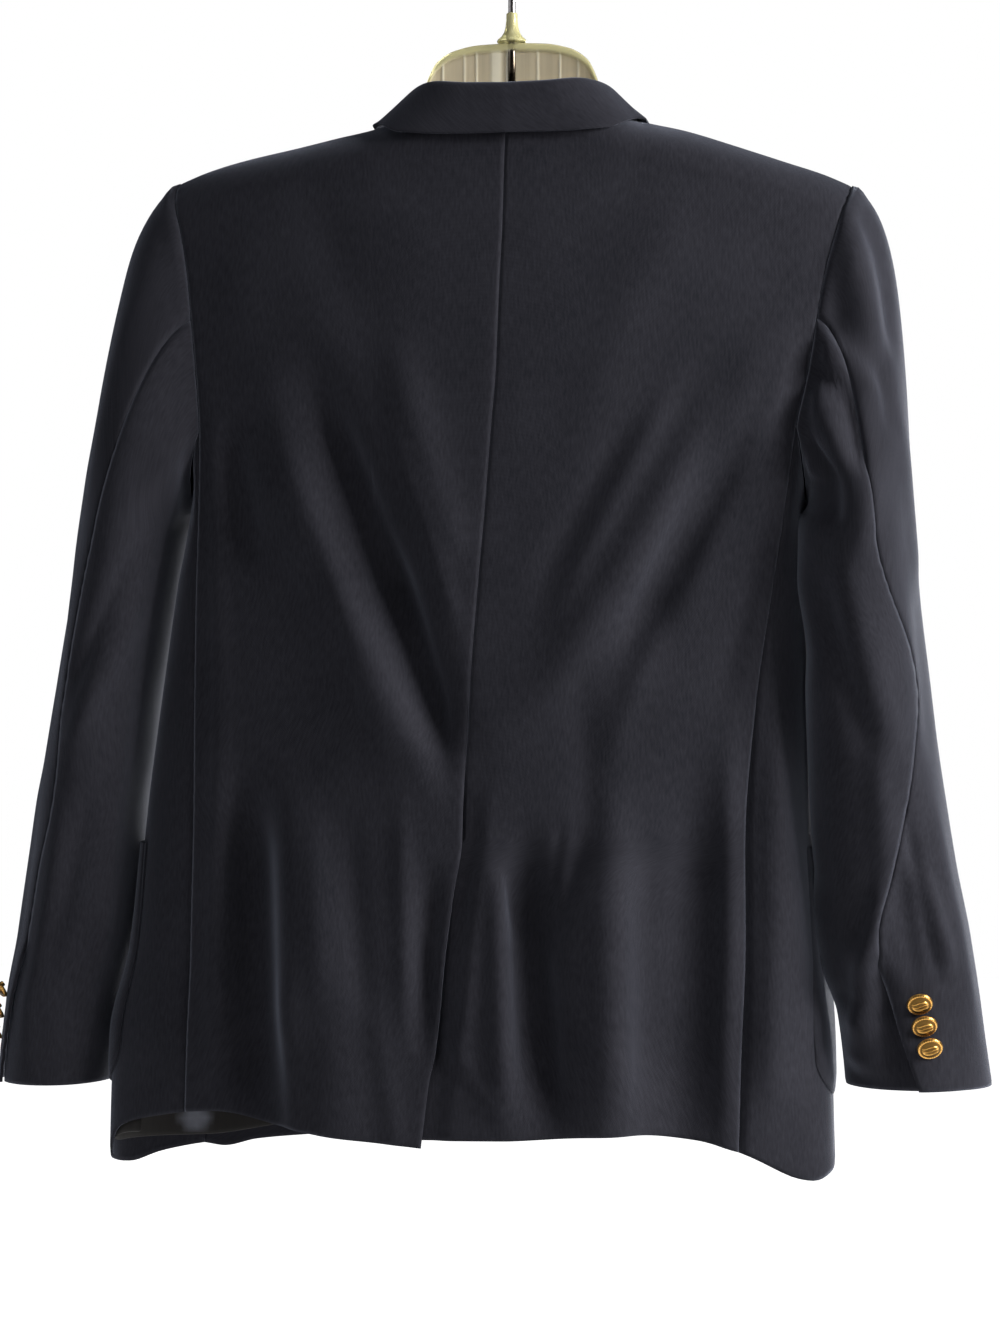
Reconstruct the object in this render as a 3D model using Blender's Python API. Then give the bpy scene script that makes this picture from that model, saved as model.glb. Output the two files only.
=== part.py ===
"""Single-breasted blazer hanging on a moulded hanger, seen mostly from the back.

Heights are written as drops below the origin, the inside top of the hook, in metres.
The front faces -Y and the left side of the coat is +X.
"""

import bpy
import numpy as np

# Cloth walls and gaps
WALL = 0.0016
LINING_WALL = 0.0010
HALF_GAP = 0.00017
LAYER = 0.0023

# Shoulder line: half width from the centre, drop
SHOULDER_RIDGE = np.array([
    (0.000, 0.0970),
    (0.030, 0.1060),
    (0.060, 0.1200),
    (0.080, 0.1280),
    (0.093, 0.1325),
    (0.120, 0.1385),
    (0.150, 0.1465),
    (0.187, 0.1565),
    (0.213, 0.1645),
    (0.236, 0.1740),
])
SHOULDER_LEAN = 0.024
SHOULDER_ROUNDING = 0.030
NECK_HALF = 0.093
NECK_DROP = 0.1395
TIP_HALF = 0.2335

# Body by drop: sideways swing, half widths and depths from the middle plane
BODY_COLUMNS = (
    "drop", "swing", "back_half", "side_half", "side_half_right", "front_half", "front_half_right",
    "back_mid", "back_edge", "front_mid", "front_edge",
)
BODY = np.array([
    (0.130, -0.0010, 0.2335, 0.2360, 0.2360, 0.2335, 0.2335, 0.050, 0.020, 0.030, 0.018),
    (0.175, 0.0000, 0.2335, 0.2320, 0.2320, 0.2335, 0.2335, 0.056, 0.024, 0.045, 0.022),
    (0.205, 0.0000, 0.2260, 0.2260, 0.2260, 0.2220, 0.2220, 0.062, 0.034, 0.054, 0.031),
    (0.235, 0.0010, 0.2190, 0.2220, 0.2220, 0.2100, 0.2100, 0.066, 0.040, 0.060, 0.037),
    (0.270, 0.0020, 0.2135, 0.2180, 0.2180, 0.1990, 0.1990, 0.070, 0.045, 0.065, 0.041),
    (0.305, 0.0030, 0.2090, 0.2150, 0.2150, 0.1920, 0.1920, 0.073, 0.047, 0.068, 0.043),
    (0.345, 0.0060, 0.2035, 0.2120, 0.2120, 0.1880, 0.1880, 0.075, 0.048, 0.070, 0.044),
    (0.400, 0.0100, 0.2000, 0.2120, 0.2120, 0.1870, 0.1970, 0.077, 0.049, 0.071, 0.045),
    (0.450, 0.0145, 0.1970, 0.2180, 0.2175, 0.1860, 0.2180, 0.077, 0.049, 0.071, 0.045),
    (0.530, 0.0210, 0.1920, 0.2245, 0.2235, 0.1860, 0.2320, 0.076, 0.048, 0.070, 0.045),
    (0.615, 0.0250, 0.1890, 0.2320, 0.2280, 0.1880, 0.2375, 0.076, 0.047, 0.069, 0.045),
    (0.700, 0.0260, 0.1900, 0.2405, 0.2350, 0.1920, 0.2400, 0.078, 0.047, 0.069, 0.046),
    (0.760, 0.0285, 0.1900, 0.2525, 0.2455, 0.1950, 0.2440, 0.080, 0.048, 0.070, 0.047),
    (0.860, 0.0310, 0.1900, 0.2535, 0.2535, 0.1980, 0.2400, 0.082, 0.049, 0.072, 0.048),
])
GIRTH_POWER = 2.2

# Rows of the panels
YOKE_ROWS = (0.0, 0.0146, 0.0526, 0.117, 0.234, 0.380, 0.555, 0.750, 1.0)
SKIRT_DROPS = (
    0.345, 0.368, 0.392, 0.416, 0.440, 0.466, 0.492, 0.518, 0.544, 0.571,
    0.600, 0.621, 0.642, 0.668, 0.694, 0.720, 0.746, 0.771, 0.796, 0.820,
)
ARMPIT_EASE = 0.470
HEM_EASE = 0.700
NECK_STEPS = 4
SHOULDER_STEPS = 7
SIDE_STEPS = 6

# Scye drop along the side panel, from its back seam to its front seam
SCYE_DROP = np.array([(0.0, 0.345), (0.25, 0.378), (0.5, 0.394), (0.75, 0.390), (1.0, 0.375)])

# Hem drops by fraction of each panel, from the centre outwards or from back to front
BACK_HEM = {
    1: np.array([(0.0, 0.826), (0.35, 0.820), (0.6, 0.814), (0.85, 0.807), (1.0, 0.809)]),
    -1: np.array([(0.0, 0.821), (0.35, 0.820), (0.7, 0.817), (0.88, 0.825), (1.0, 0.834)]),
}
SIDE_HEM = {
    1: np.array([(0.0, 0.809), (0.3, 0.824), (0.5, 0.849), (0.7, 0.8545), (0.85, 0.849), (1.0, 0.844)]),
    -1: np.array([(0.0, 0.834), (0.25, 0.8445), (0.5, 0.8515), (0.8, 0.8525), (1.0, 0.850)]),
}
FRONT_HEM = {
    1: np.array([(0.0, 0.836), (0.4, 0.839), (0.7, 0.842), (0.88, 0.8465), (1.0, 0.844)]),
    -1: np.array([(0.0, 0.834), (0.5, 0.8355), (0.78, 0.837), (0.9, 0.842), (1.0, 0.850)]),
}

# Vent: flap edge and underlap edge, measured from the middle
VENT_TOP = 0.619
FLAP_EDGE = np.array([
    (0.600, -0.002),
    (0.619, -0.002),
    (0.662, 0.0045),
    (0.707, 0.0100),
    (0.764, 0.0127),
    (0.781, 0.0155),
    (0.830, 0.0205),
])
CENTRE_SHIFT = -0.002
UNDERLAP = 0.046
UNDERLAP_TUCK = 0.0032

# Front: break line and front edge, measured from the middle
FRONT_EDGE = np.array([
    (0.1325, 0.093),
    (0.150, 0.089),
    (0.185, 0.080),
    (0.250, 0.060),
    (0.350, 0.029),
    (0.450, -0.004),
    (0.490, -0.018),
    (0.530, -0.020),
    (0.640, -0.020),
    (0.720, -0.006),
    (0.770, 0.013),
    (0.800, 0.030),
    (0.822, 0.052),
    (0.838, 0.080),
])
WRAP_TUCK = 0.0056
LAPEL_EDGE = np.array([
    (0.185, 0.125),
    (0.200, 0.142),
    (0.212, 0.151),
    (0.235, 0.144),
    (0.300, 0.118),
    (0.380, 0.079),
    (0.440, 0.043),
    (0.475, 0.014),
    (0.490, -0.004),
])
LAPEL_ROWS = 12
LAPEL_STEPS = 4
GORGE_DROP = 0.192
GORGE_SLOPE = 0.020
LAPEL_END = 0.484
LAPEL_LIFT = 0.0024

# Largest folds: start x and drop, end x and drop, half width, depth outward, on the back
FOLD_COLUMNS = ("x0", "drop0", "x1", "drop1", "half_width", "depth")
BACK_FOLDS = np.array([
    (0.124, 0.320, 0.028, 0.560, 0.017, -0.0060),
    (0.150, 0.370, 0.070, 0.560, 0.018, 0.0045),
    (0.068, 0.300, 0.030, 0.430, 0.015, 0.0030),
    (0.186, 0.350, 0.170, 0.430, 0.012, -0.0030),
    (0.171, 0.600, 0.160, 0.800, 0.016, -0.0075),
    (0.120, 0.640, 0.112, 0.840, 0.026, 0.0050),
    (0.044, 0.650, 0.046, 0.760, 0.010, -0.0045),
    (-0.176, 0.300, -0.040, 0.510, 0.018, 0.0045),
    (-0.162, 0.362, -0.095, 0.480, 0.014, -0.0045),
    (-0.133, 0.600, -0.122, 0.840, 0.024, -0.0085),
    (-0.021, 0.635, -0.034, 0.800, 0.013, -0.0080),
    (-0.070, 0.640, -0.078, 0.840, 0.022, 0.0055),
    (-0.002, 0.640, -0.006, 0.800, 0.010, 0.0035),
])
FOLD_FADE = 0.22

# Sleeves by drop: centre, half widths, hind and fore seam turns (0 outward, 0.25 back)
SLEEVE_COLUMNS = ("drop", "centre_x", "centre_y", "half_x", "half_y", "hind", "fore")
SLEEVES = {
    1: np.array([
        (0.340, 0.2510, 0.004, 0.0355, 0.066, 0.215, 0.63),
        (0.400, 0.2637, 0.004, 0.0368, 0.067, 0.198, 0.64),
        (0.450, 0.2729, 0.003, 0.0359, 0.066, 0.180, 0.65),
        (0.528, 0.2855, 0.001, 0.0355, 0.064, 0.165, 0.66),
        (0.568, 0.2915, -0.001, 0.0365, 0.062, 0.180, 0.66),
        (0.600, 0.2980, -0.004, 0.0380, 0.060, 0.190, 0.67),
        (0.643, 0.3036, -0.008, 0.0406, 0.057, 0.165, 0.67),
        (0.690, 0.3104, -0.013, 0.0424, 0.055, 0.152, 0.68),
        (0.740, 0.3217, -0.018, 0.0417, 0.054, 0.135, 0.68),
        (0.800, 0.3275, -0.024, 0.0400, 0.055, 0.100, 0.68),
    ]),
    -1: np.array([
        (0.340, 0.2370, 0.004, 0.0340, 0.068, 0.165, 0.63),
        (0.390, 0.2396, 0.004, 0.0344, 0.069, 0.125, 0.64),
        (0.450, 0.2422, 0.003, 0.0363, 0.067, 0.100, 0.65),
        (0.517, 0.2460, 0.001, 0.0405, 0.062, 0.100, 0.66),
        (0.560, 0.2489, -0.001, 0.0426, 0.058, 0.140, 0.66),
        (0.600, 0.2528, -0.004, 0.0447, 0.055, 0.185, 0.67),
        (0.640, 0.2573, -0.008, 0.0467, 0.052, 0.235, 0.67),
        (0.690, 0.2648, -0.013, 0.0487, 0.049, 0.285, 0.68),
        (0.740, 0.2725, -0.018, 0.0485, 0.046, 0.278, 0.68),
        (0.800, 0.2788, -0.024, 0.0502, 0.044, 0.250, 0.68),
    ]),
}
CUFF_DROP = {1: 0.7955, -1: 0.7895}
CAP_ROWS = 7
TUBE_ROWS = 13
TUBE_START = 0.418
HIND_COLUMN = 6
FORE_COLUMN = 15

# Collar stations from the centre back forwards: roll line x, y, drop
COLLAR_ROLL = np.array([
    (0.00, 0.000, 0.0460, 0.1090),
    (0.20, 0.028, 0.0440, 0.1080),
    (0.38, 0.049, 0.0330, 0.1055),
    (0.52, 0.0615, 0.0150, 0.1075),
    (0.60, 0.0695, -0.0010, 0.1155),
    (0.66, 0.0755, -0.0095, 0.1220),
    (0.74, 0.0830, -0.0195, 0.1325),
    (0.82, 0.0828, -0.0288, 0.1470),
    (0.90, 0.0798, -0.0374, 0.1630),
    (1.00, 0.0750, -0.0432, 0.1820),
])
COLLAR_FALL = np.array([
    (0.00, 0.000, 0.0585, 0.1455),
    (0.20, 0.040, 0.0560, 0.1450),
    (0.38, 0.072, 0.0440, 0.1420),
    (0.50, 0.090, 0.0210, 0.1325),
    (0.60, 0.0985, 0.0040, 0.1285),
    (0.68, 0.103, -0.0110, 0.1330),
    (0.82, 0.112, -0.0330, 0.1560),
    (1.00, 0.118, -0.0440, 0.1860),
])
COLLAR_STATIONS = 12
ROLL_RADIUS = 0.0038
STAND_FRONT = 0.008

# Patch pockets: columns along the side panel and front, top and bottom drops, corner radius
POCKET_PLACES = (0.29, 2 / 6, 0.5, 4 / 6, 5 / 6, 1.0, 8 / 7, 9 / 7, 10 / 7, 11 / 7)
POCKET_LIFT = 0.0029
POCKET_TOP = 0.626
POCKET_BOTTOM = 0.796
POCKET_CORNER = 0.032
POCKET_ROWS = 8

# Lining inside the left front
LINING_TOP = 0.700
LINING_HEM = 0.838
LINING_RISE = 0.012
LINING_DEPTH = 0.0023
LINING_ROWS = 6
LINING_PLACES = (1 / 6, 2 / 6, 3 / 6, 4 / 6, 5 / 6, 1.0, 8 / 7, 9 / 7, 10 / 7, 11 / 7, 12 / 7)

# Buttons
BUTTON_PROFILE = ((0.0, 0.0046), (0.0036, 0.0043), (0.0064, 0.0033), (0.0075, 0.0018), (0.0070, 0.0005))
CUFF_BUTTON_DROPS = (0.728, 0.743, 0.758)
FRONT_BUTTON_DROPS = (0.505, 0.612)
FRONT_BUTTON_SCALE = 1.35
BUTTON_SIDES = 14
BUTTON_LIFT = 0.0004
SHANK_RADIUS = 0.0022

# Hanger
HANGER_ARCH = np.array([
    (0.000, 0.0745),
    (0.023, 0.0755),
    (0.040, 0.0790),
    (0.052, 0.0865),
    (0.0585, 0.0985),
    (0.063, 0.1140),
    (0.068, 0.1250),
    (0.080, 0.1335),
])
HANGER_COLUMNS = ("x", "rim_half", "web_half", "depth")
HANGER_SIZES = np.array([
    (0.000, 0.0030, 0.0012, 0.0640),
    (0.045, 0.0030, 0.0012, 0.0640),
    (0.060, 0.0030, 0.0012, 0.0590),
    (0.085, 0.0058, 0.0016, 0.0390),
    (0.105, 0.0092, 0.0026, 0.0230),
    (0.125, 0.0128, 0.0038, 0.0180),
    (0.150, 0.0155, 0.0050, 0.0180),
    (0.170, 0.0155, 0.0052, 0.0180),
    (0.212, 0.0125, 0.0052, 0.0120),
])
HANGER_RIM = 0.0035
HANGER_FOOT = 0.003
HANGER_UNDER = 0.0034
HANGER_JOIN = (0.072, 0.090)
HANGER_HALF = 0.212
HANGER_STEPS = 22
NECK_CONE = (
    (0.0040, 0.0744),
    (0.0078, 0.0742),
    (0.0072, 0.0715),
    (0.0045, 0.0650),
    (0.0034, 0.0590),
    (0.0026, 0.0584),
)
HOOK_WIRE = 0.0019
HOOK_RADIUS = 0.0215
HOOK_TURNS = (-72, 200)
HOOK_STEPS = 27
HOOK_SHANK = (
    (0.0, 0.0580),
    (0.0, 0.0530),
    (0.0, 0.0480),
    (0.0, 0.0450),
    (-0.0011, 0.0424),
    (-0.0035, 0.0407),
)


def smooth(x, table, column=1):
    """Cubic curve through the rows of a table, never past them, and level beyond its ends."""
    knots = table[:, 0]
    values = table[:, column]
    x = np.clip(np.asarray(x, float), knots[0], knots[-1])
    rise = np.diff(values) / np.diff(knots)
    same = rise[1:] * rise[:-1] > 0
    middle = np.where(same, 2 * rise[1:] * rise[:-1] / np.where(same, rise[1:] + rise[:-1], 1), 0)
    slopes = np.concatenate([rise[:1], middle, rise[-1:]])
    i = np.clip(np.searchsorted(knots, x) - 1, 0, len(knots) - 2)
    step = knots[i + 1] - knots[i]
    t = (x - knots[i]) / step
    a = (1 + 2 * t) * (1 - t) ** 2 * values[i] + t * (1 - t) ** 2 * step * slopes[i]
    b = t * t * (3 - 2 * t) * values[i + 1] + t * t * (t - 1) * step * slopes[i + 1]
    return a + b


def ramp(x, start, end):
    t = np.clip((np.asarray(x, float) - start) / (end - start), 0, 1)
    return t * t * (3 - 2 * t)


def body(name, drop):
    return smooth(drop, BODY, BODY_COLUMNS.index(name))


def half_width(name, drop, side):
    return body(name if side > 0 else name + "_right", drop)


def ridge(x):
    lean = SHOULDER_LEAN * x * ramp(np.abs(x), 0.1, 0.2)
    return smooth(np.abs(x), SHOULDER_RIDGE) - lean


def rounding(x, drop):
    q = np.clip((drop - ridge(x)) / SHOULDER_ROUNDING, 0, 1)
    return np.sqrt(np.clip(1 - (1 - q) ** 2, 0, 1))


def neck_drop(x):
    across = np.clip(np.abs(x) / NECK_HALF, 0, 1)
    return NECK_DROP + (smooth(NECK_HALF, SHOULDER_RIDGE) - NECK_DROP) * across ** 2


def folds_at(x, drop, folds):
    """Sum of soft ridges and troughs at points given by x and drop."""
    total = np.zeros(np.broadcast(x, drop).shape)
    for values in folds:
        fold = dict(zip(FOLD_COLUMNS, values))
        run = np.array([fold["x1"] - fold["x0"], fold["drop1"] - fold["drop0"]])
        length = np.hypot(*run)
        from_x, from_drop = x - fold["x0"], drop - fold["drop0"]
        along = (from_x * run[0] + from_drop * run[1]) / length ** 2
        across = (from_x * run[1] - from_drop * run[0]) / length
        fade = ramp(along, -FOLD_FADE, FOLD_FADE) * (1 - ramp(along, 1 - FOLD_FADE, 1 + FOLD_FADE))
        total = total + fold["depth"] * fade * np.exp(-((across / fold["half_width"]) ** 2))
    return total


def back_point(x, drop):
    """Point of the back cloth at x from the middle, with its folds."""
    half = body("back_half", drop)
    edge = body("back_edge", drop)
    bow = 1 - np.clip(np.abs(x) / half, 0, 1) ** GIRTH_POWER
    y = edge + (body("back_mid", drop) - edge) * bow
    actual = x + body("swing", drop)
    quiet = ramp(half - np.abs(x), 0.0, 0.02)
    y = y * rounding(x, drop) + folds_at(actual, drop, BACK_FOLDS) * quiet
    return np.stack([actual + 0 * y, y, -drop + 0 * y], axis=-1)


def tucked_back_point(x, drop):
    """Right back point, sunk where it runs under the vent flap."""
    point = back_point(x, drop)
    edge = smooth(drop, FLAP_EDGE)
    tuck = ramp(x, edge - 0.020, edge - 0.006) * ramp(drop, 0.570, 0.600)
    point[..., 1] -= UNDERLAP_TUCK * tuck
    return point


def front_point(x, drop, side):
    """Point of a front at x out from the middle on its own side."""
    half = half_width("front_half", drop, side)
    edge = body("front_edge", drop)
    bow = 1 - np.clip(np.abs(x) / half, 0, 1) ** GIRTH_POWER
    y = -(edge + (body("front_mid", drop) - edge) * bow) * rounding(side * x, drop)
    if side < 0:
        y = y + WRAP_TUCK * (1 - ramp(x, 0.022, 0.062)) * ramp(drop, 0.34, 0.41)
    return np.stack([side * x + body("swing", drop) + 0 * y, y, -drop + 0 * y], axis=-1)


def side_point(t, drop, side):
    """Point of a side panel, t running from its back seam to its front seam."""
    back_half, back_edge = body("back_half", drop), body("back_edge", drop)
    wide_front, front_edge = half_width("front_half", drop, side), body("front_edge", drop)
    wide = half_width("side_half", drop, side)
    back_slope = GIRTH_POWER * (body("back_mid", drop) - back_edge) / back_half
    front_slope = GIRTH_POWER * (body("front_mid", drop) - front_edge) / wide_front
    run_back = 0.6 * (wide - back_half) + 0.004
    run_front = np.maximum(0.6 * (wide - wide_front) + 0.004, 0.003)
    first = t < 0.5
    a = np.where(first, 2 * t, 2 - 2 * t)
    near_x = np.where(first, back_half, wide_front)
    near_y = np.where(first, back_edge, front_edge)
    run = np.where(first, run_back, run_front)
    slope = np.where(first, back_slope, front_slope)
    x = (
        near_x * (1 - a) ** 3
        + 3 * (near_x + run) * a * (1 - a) ** 2
        + 3 * wide * a ** 2 * (1 - a)
        + wide * a ** 3
    )
    y = (
        near_y * (1 - a) ** 3
        + 3 * (near_y - run * slope) * a * (1 - a) ** 2
        + 3 * 0.5 * near_y * a ** 2 * (1 - a)
    )
    y = np.where(first, y, -y)
    return np.stack([side * x + body("swing", drop), y, -drop + 0 * y], axis=-1)


def skirt_rows(start, hem):
    """Row drops below the armpit for columns that start and end at the given drops."""
    base = np.array(SKIRT_DROPS)[None, :]
    top = 1 - np.clip((base - base[0, 0]) / (ARMPIT_EASE - base[0, 0]), 0, 1)
    low = np.clip((base - HEM_EASE) / (base[0, -1] - HEM_EASE), 0, 1)
    return base + top * (start[:, None] - base[0, 0]) + low * (hem[:, None] - base[0, -1])


def yoke_rows(start, end):
    return start[:, None] + (end - start)[:, None] * np.array(YOKE_ROWS)[None, :]


def shoulder_fractions():
    neck = np.linspace(0, NECK_HALF, NECK_STEPS + 1)
    shoulder = np.linspace(NECK_HALF, TIP_HALF, SHOULDER_STEPS + 1)[1:]
    return np.concatenate([neck, shoulder]) / TIP_HALF


def back_panel(side):
    share = shoulder_fractions()
    top_x = share * TIP_HALF
    start = np.maximum(ridge(side * top_x), np.where(top_x < NECK_HALF, neck_drop(top_x), 0))
    armpit = np.full(len(share), SKIRT_DROPS[0])
    hem = smooth(share, BACK_HEM[side])
    drop = np.concatenate([yoke_rows(start, armpit), skirt_rows(armpit, hem)[:, 1:]], axis=1)
    outer = body("back_half", drop)
    inner = np.full(drop.shape, CENTRE_SHIFT)
    neck = np.clip(1 - share / share[NECK_STEPS], 0, 1)[:, None]
    near = neck + (1 - share[:, None] - neck) * ramp(drop, 0.345, 0.600)
    if side > 0:
        inner = np.where(drop > VENT_TOP, smooth(drop, FLAP_EDGE), inner)
        return back_point(share[:, None] * outer + inner * near, drop)
    inner = CENTRE_SHIFT + (UNDERLAP - CENTRE_SHIFT) * ramp(drop, 0.619, 0.643)
    return tucked_back_point(-share[:, None] * outer + inner * near, drop)


def side_panel(side):
    t = np.linspace(0, 1, SIDE_STEPS + 1)
    drop = skirt_rows(smooth(t, SCYE_DROP), smooth(t, SIDE_HEM[side]))
    return side_point(t[:, None] + 0 * drop, drop, side)


def front_panel(side):
    share = np.linspace(0, 1, SHOULDER_STEPS + 1)
    top_x = NECK_HALF + (TIP_HALF - NECK_HALF) * share
    start = ridge(side * top_x)
    armpit = SKIRT_DROPS[0] + (SCYE_DROP[-1, 1] - SKIRT_DROPS[0]) * share ** 2
    hem = smooth(share, FRONT_HEM[side])
    drop = np.concatenate([yoke_rows(start, armpit), skirt_rows(armpit, hem)[:, 1:]], axis=1)
    inner = smooth(drop[0], FRONT_EDGE)[None, :]
    x = inner + (half_width("front_half", drop, side) - inner) * share[:, None]
    return front_point(x, drop, side)


def armhole(back, flank, front):
    """Closed run of armhole points: tip, down the back, under the arm, up the front."""
    rows = len(YOKE_ROWS)
    down = back[-1, :rows]
    under = flank[1:, 0]
    up = front[-1, : rows - 1][::-1]
    return np.concatenate([down, under, up])


def sleeve_ring(side, turn, drop):
    """Points of the sleeve tube at a drop, turn 0 outward and 0.25 at the back."""
    value = {name: smooth(drop, SLEEVES[side], i) for i, name in enumerate(SLEEVE_COLUMNS)}
    x = value["centre_x"] + value["half_x"] * np.cos(2 * np.pi * turn)
    y = value["centre_y"] + value["half_y"] * np.sin(2 * np.pi * turn)
    return np.stack([side * x, y + 0 * x, -drop + 0 * x], axis=-1)


def sleeve_turns(side, drop, count):
    """Turn of each column at a drop, even within the upper and the under piece."""
    hind = float(smooth(drop, SLEEVES[side], SLEEVE_COLUMNS.index("hind")))
    fore = float(smooth(drop, SLEEVES[side], SLEEVE_COLUMNS.index("fore")))
    columns = np.arange(count + HIND_COLUMN + 1)
    under = hind + (fore - hind) * (columns - HIND_COLUMN) / (FORE_COLUMN - HIND_COLUMN)
    over = fore + (1 + hind - fore) * (columns - FORE_COLUMN) / (count + HIND_COLUMN - FORE_COLUMN)
    turns = np.where(columns <= FORE_COLUMN, under, over)
    turns[:HIND_COLUMN] = turns[count:count + HIND_COLUMN] - 1
    return turns[:count]


def sleeve_tube(side, hole):
    """Grid of a whole sleeve, columns round and rows down, its first row the armhole."""
    count = len(hole)
    turns = sleeve_turns(side, TUBE_START, count)
    target = sleeve_ring(side, turns, np.full(count, TUBE_START))
    below = sleeve_ring(side, turns, np.full(count, TUBE_START + 0.02))
    reach = np.linalg.norm(target - hole, axis=1)[:, None]
    leave = np.stack([
        side * (0.80 + 0.20 * np.cos(2 * np.pi * turns)),
        0.60 * np.sin(2 * np.pi * turns),
        -0.45 - 0 * turns,
    ], axis=-1)
    leave /= np.linalg.norm(leave, axis=1)[:, None]
    arrive = (target - below) / np.linalg.norm(target - below, axis=1)[:, None]
    first = hole + 0.20 * reach * leave
    second = target + 0.34 * reach * arrive
    rows = []
    for t in np.linspace(0, 1, CAP_ROWS + 1):
        rows.append(
            hole * (1 - t) ** 3 + 3 * first * t * (1 - t) ** 2
            + 3 * second * t * t * (1 - t) + target * t ** 3
        )
    for drop in np.linspace(TUBE_START, CUFF_DROP[side], TUBE_ROWS + 1)[1:]:
        rows.append(sleeve_ring(side, sleeve_turns(side, drop, count), np.full(count, drop)))
    return np.stack(rows, axis=1)


def normals_of(grid, closed=False):
    """Unit normals of a grid of points, from the steps between its neighbours."""
    if closed:
        along = np.roll(grid, -1, axis=0) - np.roll(grid, 1, axis=0)
    else:
        along = np.gradient(grid, axis=0)
    down = np.gradient(grid, axis=1)
    cross = np.cross(along, down)
    return cross / np.maximum(np.linalg.norm(cross, axis=-1), 1e-12)[..., None]


def facing_out(grid, normals, centre_of):
    """Flips the normals if they point towards the centre line on the whole."""
    away = grid - centre_of(grid)
    return normals if (normals * away).sum() > 0 else -normals


def body_centre(grid):
    centre = grid.copy()
    centre[..., 0] *= 0.6
    centre[..., 1] = 0
    centre[..., 2] -= 0.02
    return centre


def share_seams(panels):
    """Gives every point that two panels share one normal, so that their walls stay apart."""
    sums = {}
    for grid, normals in panels:
        for i, j in edge_indices(grid):
            key = tuple(np.round(grid[i, j] * 1e6).astype(int))
            sums[key] = sums.get(key, 0) + normals[i, j]
    for grid, normals in panels:
        for i, j in edge_indices(grid):
            total = sums[tuple(np.round(grid[i, j] * 1e6).astype(int))]
            normals[i, j] = total / np.linalg.norm(total)


def edge_indices(grid):
    n, m = grid.shape[:2]
    return [(i, j) for i in range(n) for j in range(m) if i in (0, n - 1) or j in (0, m - 1)]


def drawn_in(grid, gap=HALF_GAP):
    """The grid with its border moved in by half a seam gap."""
    result = grid.copy()
    for edge, inside in ((0, 1), (-1, -2)):
        step = grid[inside] - grid[edge]
        result[edge] += gap * step / np.linalg.norm(step, axis=-1)[..., None]
    for edge, inside in ((0, 1), (-1, -2)):
        step = grid[:, inside] - grid[:, edge]
        result[:, edge] += gap * step / np.linalg.norm(step, axis=-1)[..., None]
    return result


def add_object(name, points, faces, material, smooth_shading=True):
    mesh = bpy.data.meshes.new(name)
    mesh.from_pydata([tuple(p) for p in points], [], faces)
    mesh.materials.append(material)
    mesh.polygons.foreach_set("use_smooth", [smooth_shading] * len(mesh.polygons))
    mesh.update()
    part = bpy.data.objects.new(name, mesh)
    bpy.context.scene.collection.objects.link(part)
    return part


def signed_volume(points, faces):
    corners = points[np.array(faces)]
    return np.einsum("ij,ij->i", corners[:, 0], np.cross(corners[:, 1], corners[:, 2])).sum()


def add_closed(name, points, faces, material):
    """Adds a closed body of triangles, turned to face out."""
    points = np.asarray(points, float)
    if signed_volume(points, faces) < 0:
        faces = [face[::-1] for face in faces]
    return add_object(name, points, faces, material)


def add_wall(name, grid, normals, material, wall=WALL):
    """Adds a cloth panel: its outer grid, the same grid moved in by the wall, and a rim."""
    grid = drawn_in(grid)
    n, m = grid.shape[:2]
    points = np.concatenate([grid.reshape(-1, 3), (grid - normals * wall).reshape(-1, 3)])
    inner = n * m
    faces = []
    for i in range(n - 1):
        for j in range(m - 1):
            a, b = i * m + j, (i + 1) * m + j
            faces += [(a, b, b + 1), (a, b + 1, a + 1)]
            faces += [(inner + a, inner + b + 1, inner + b), (inner + a, inner + a + 1, inner + b + 1)]
    border = [i * m for i in range(n)]
    border += [(n - 1) * m + j for j in range(1, m)]
    border += [i * m + m - 1 for i in range(n - 2, -1, -1)]
    border += [j for j in range(m - 2, 0, -1)]
    for a, b in zip(border, border[1:] + border[:1]):
        faces += [(a, inner + a, inner + b), (a, inner + b, b)]
    return add_closed(name, points, faces, material)


def add_sweep(name, rings, material):
    """Adds a body through closed rings of points, its ends closed by fans."""
    rings = np.asarray(rings, float)
    count, sides = rings.shape[:2]
    points = np.concatenate([rings.reshape(-1, 3), rings[0].mean(0)[None], rings[-1].mean(0)[None]])
    faces = []
    for i in range(count - 1):
        for j in range(sides):
            a, b = i * sides + j, i * sides + (j + 1) % sides
            faces += [(a, b, b + sides), (a, b + sides, a + sides)]
    for j in range(sides):
        k = (j + 1) % sides
        faces.append((count * sides, k, j))
        faces.append((count * sides + 1, (count - 1) * sides + j, (count - 1) * sides + k))
    return add_closed(name, points, faces, material)


def lapel_grid(side):
    """Lapel lying on its front, from the break line out to its edge."""
    c = np.linspace(0, 1, LAPEL_STEPS + 1)[:, None]
    r = np.linspace(0, 1, LAPEL_ROWS + 1)[None, :]
    top = GORGE_DROP + GORGE_SLOPE * c
    drop = top + (LAPEL_END - top) * r
    x = smooth(drop, FRONT_EDGE) + (smooth(drop, LAPEL_EDGE) - smooth(drop, FRONT_EDGE)) * c
    return lifted(lambda dx, dh: front_point(x + dx, drop + dh, side), LAPEL_LIFT)


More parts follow.
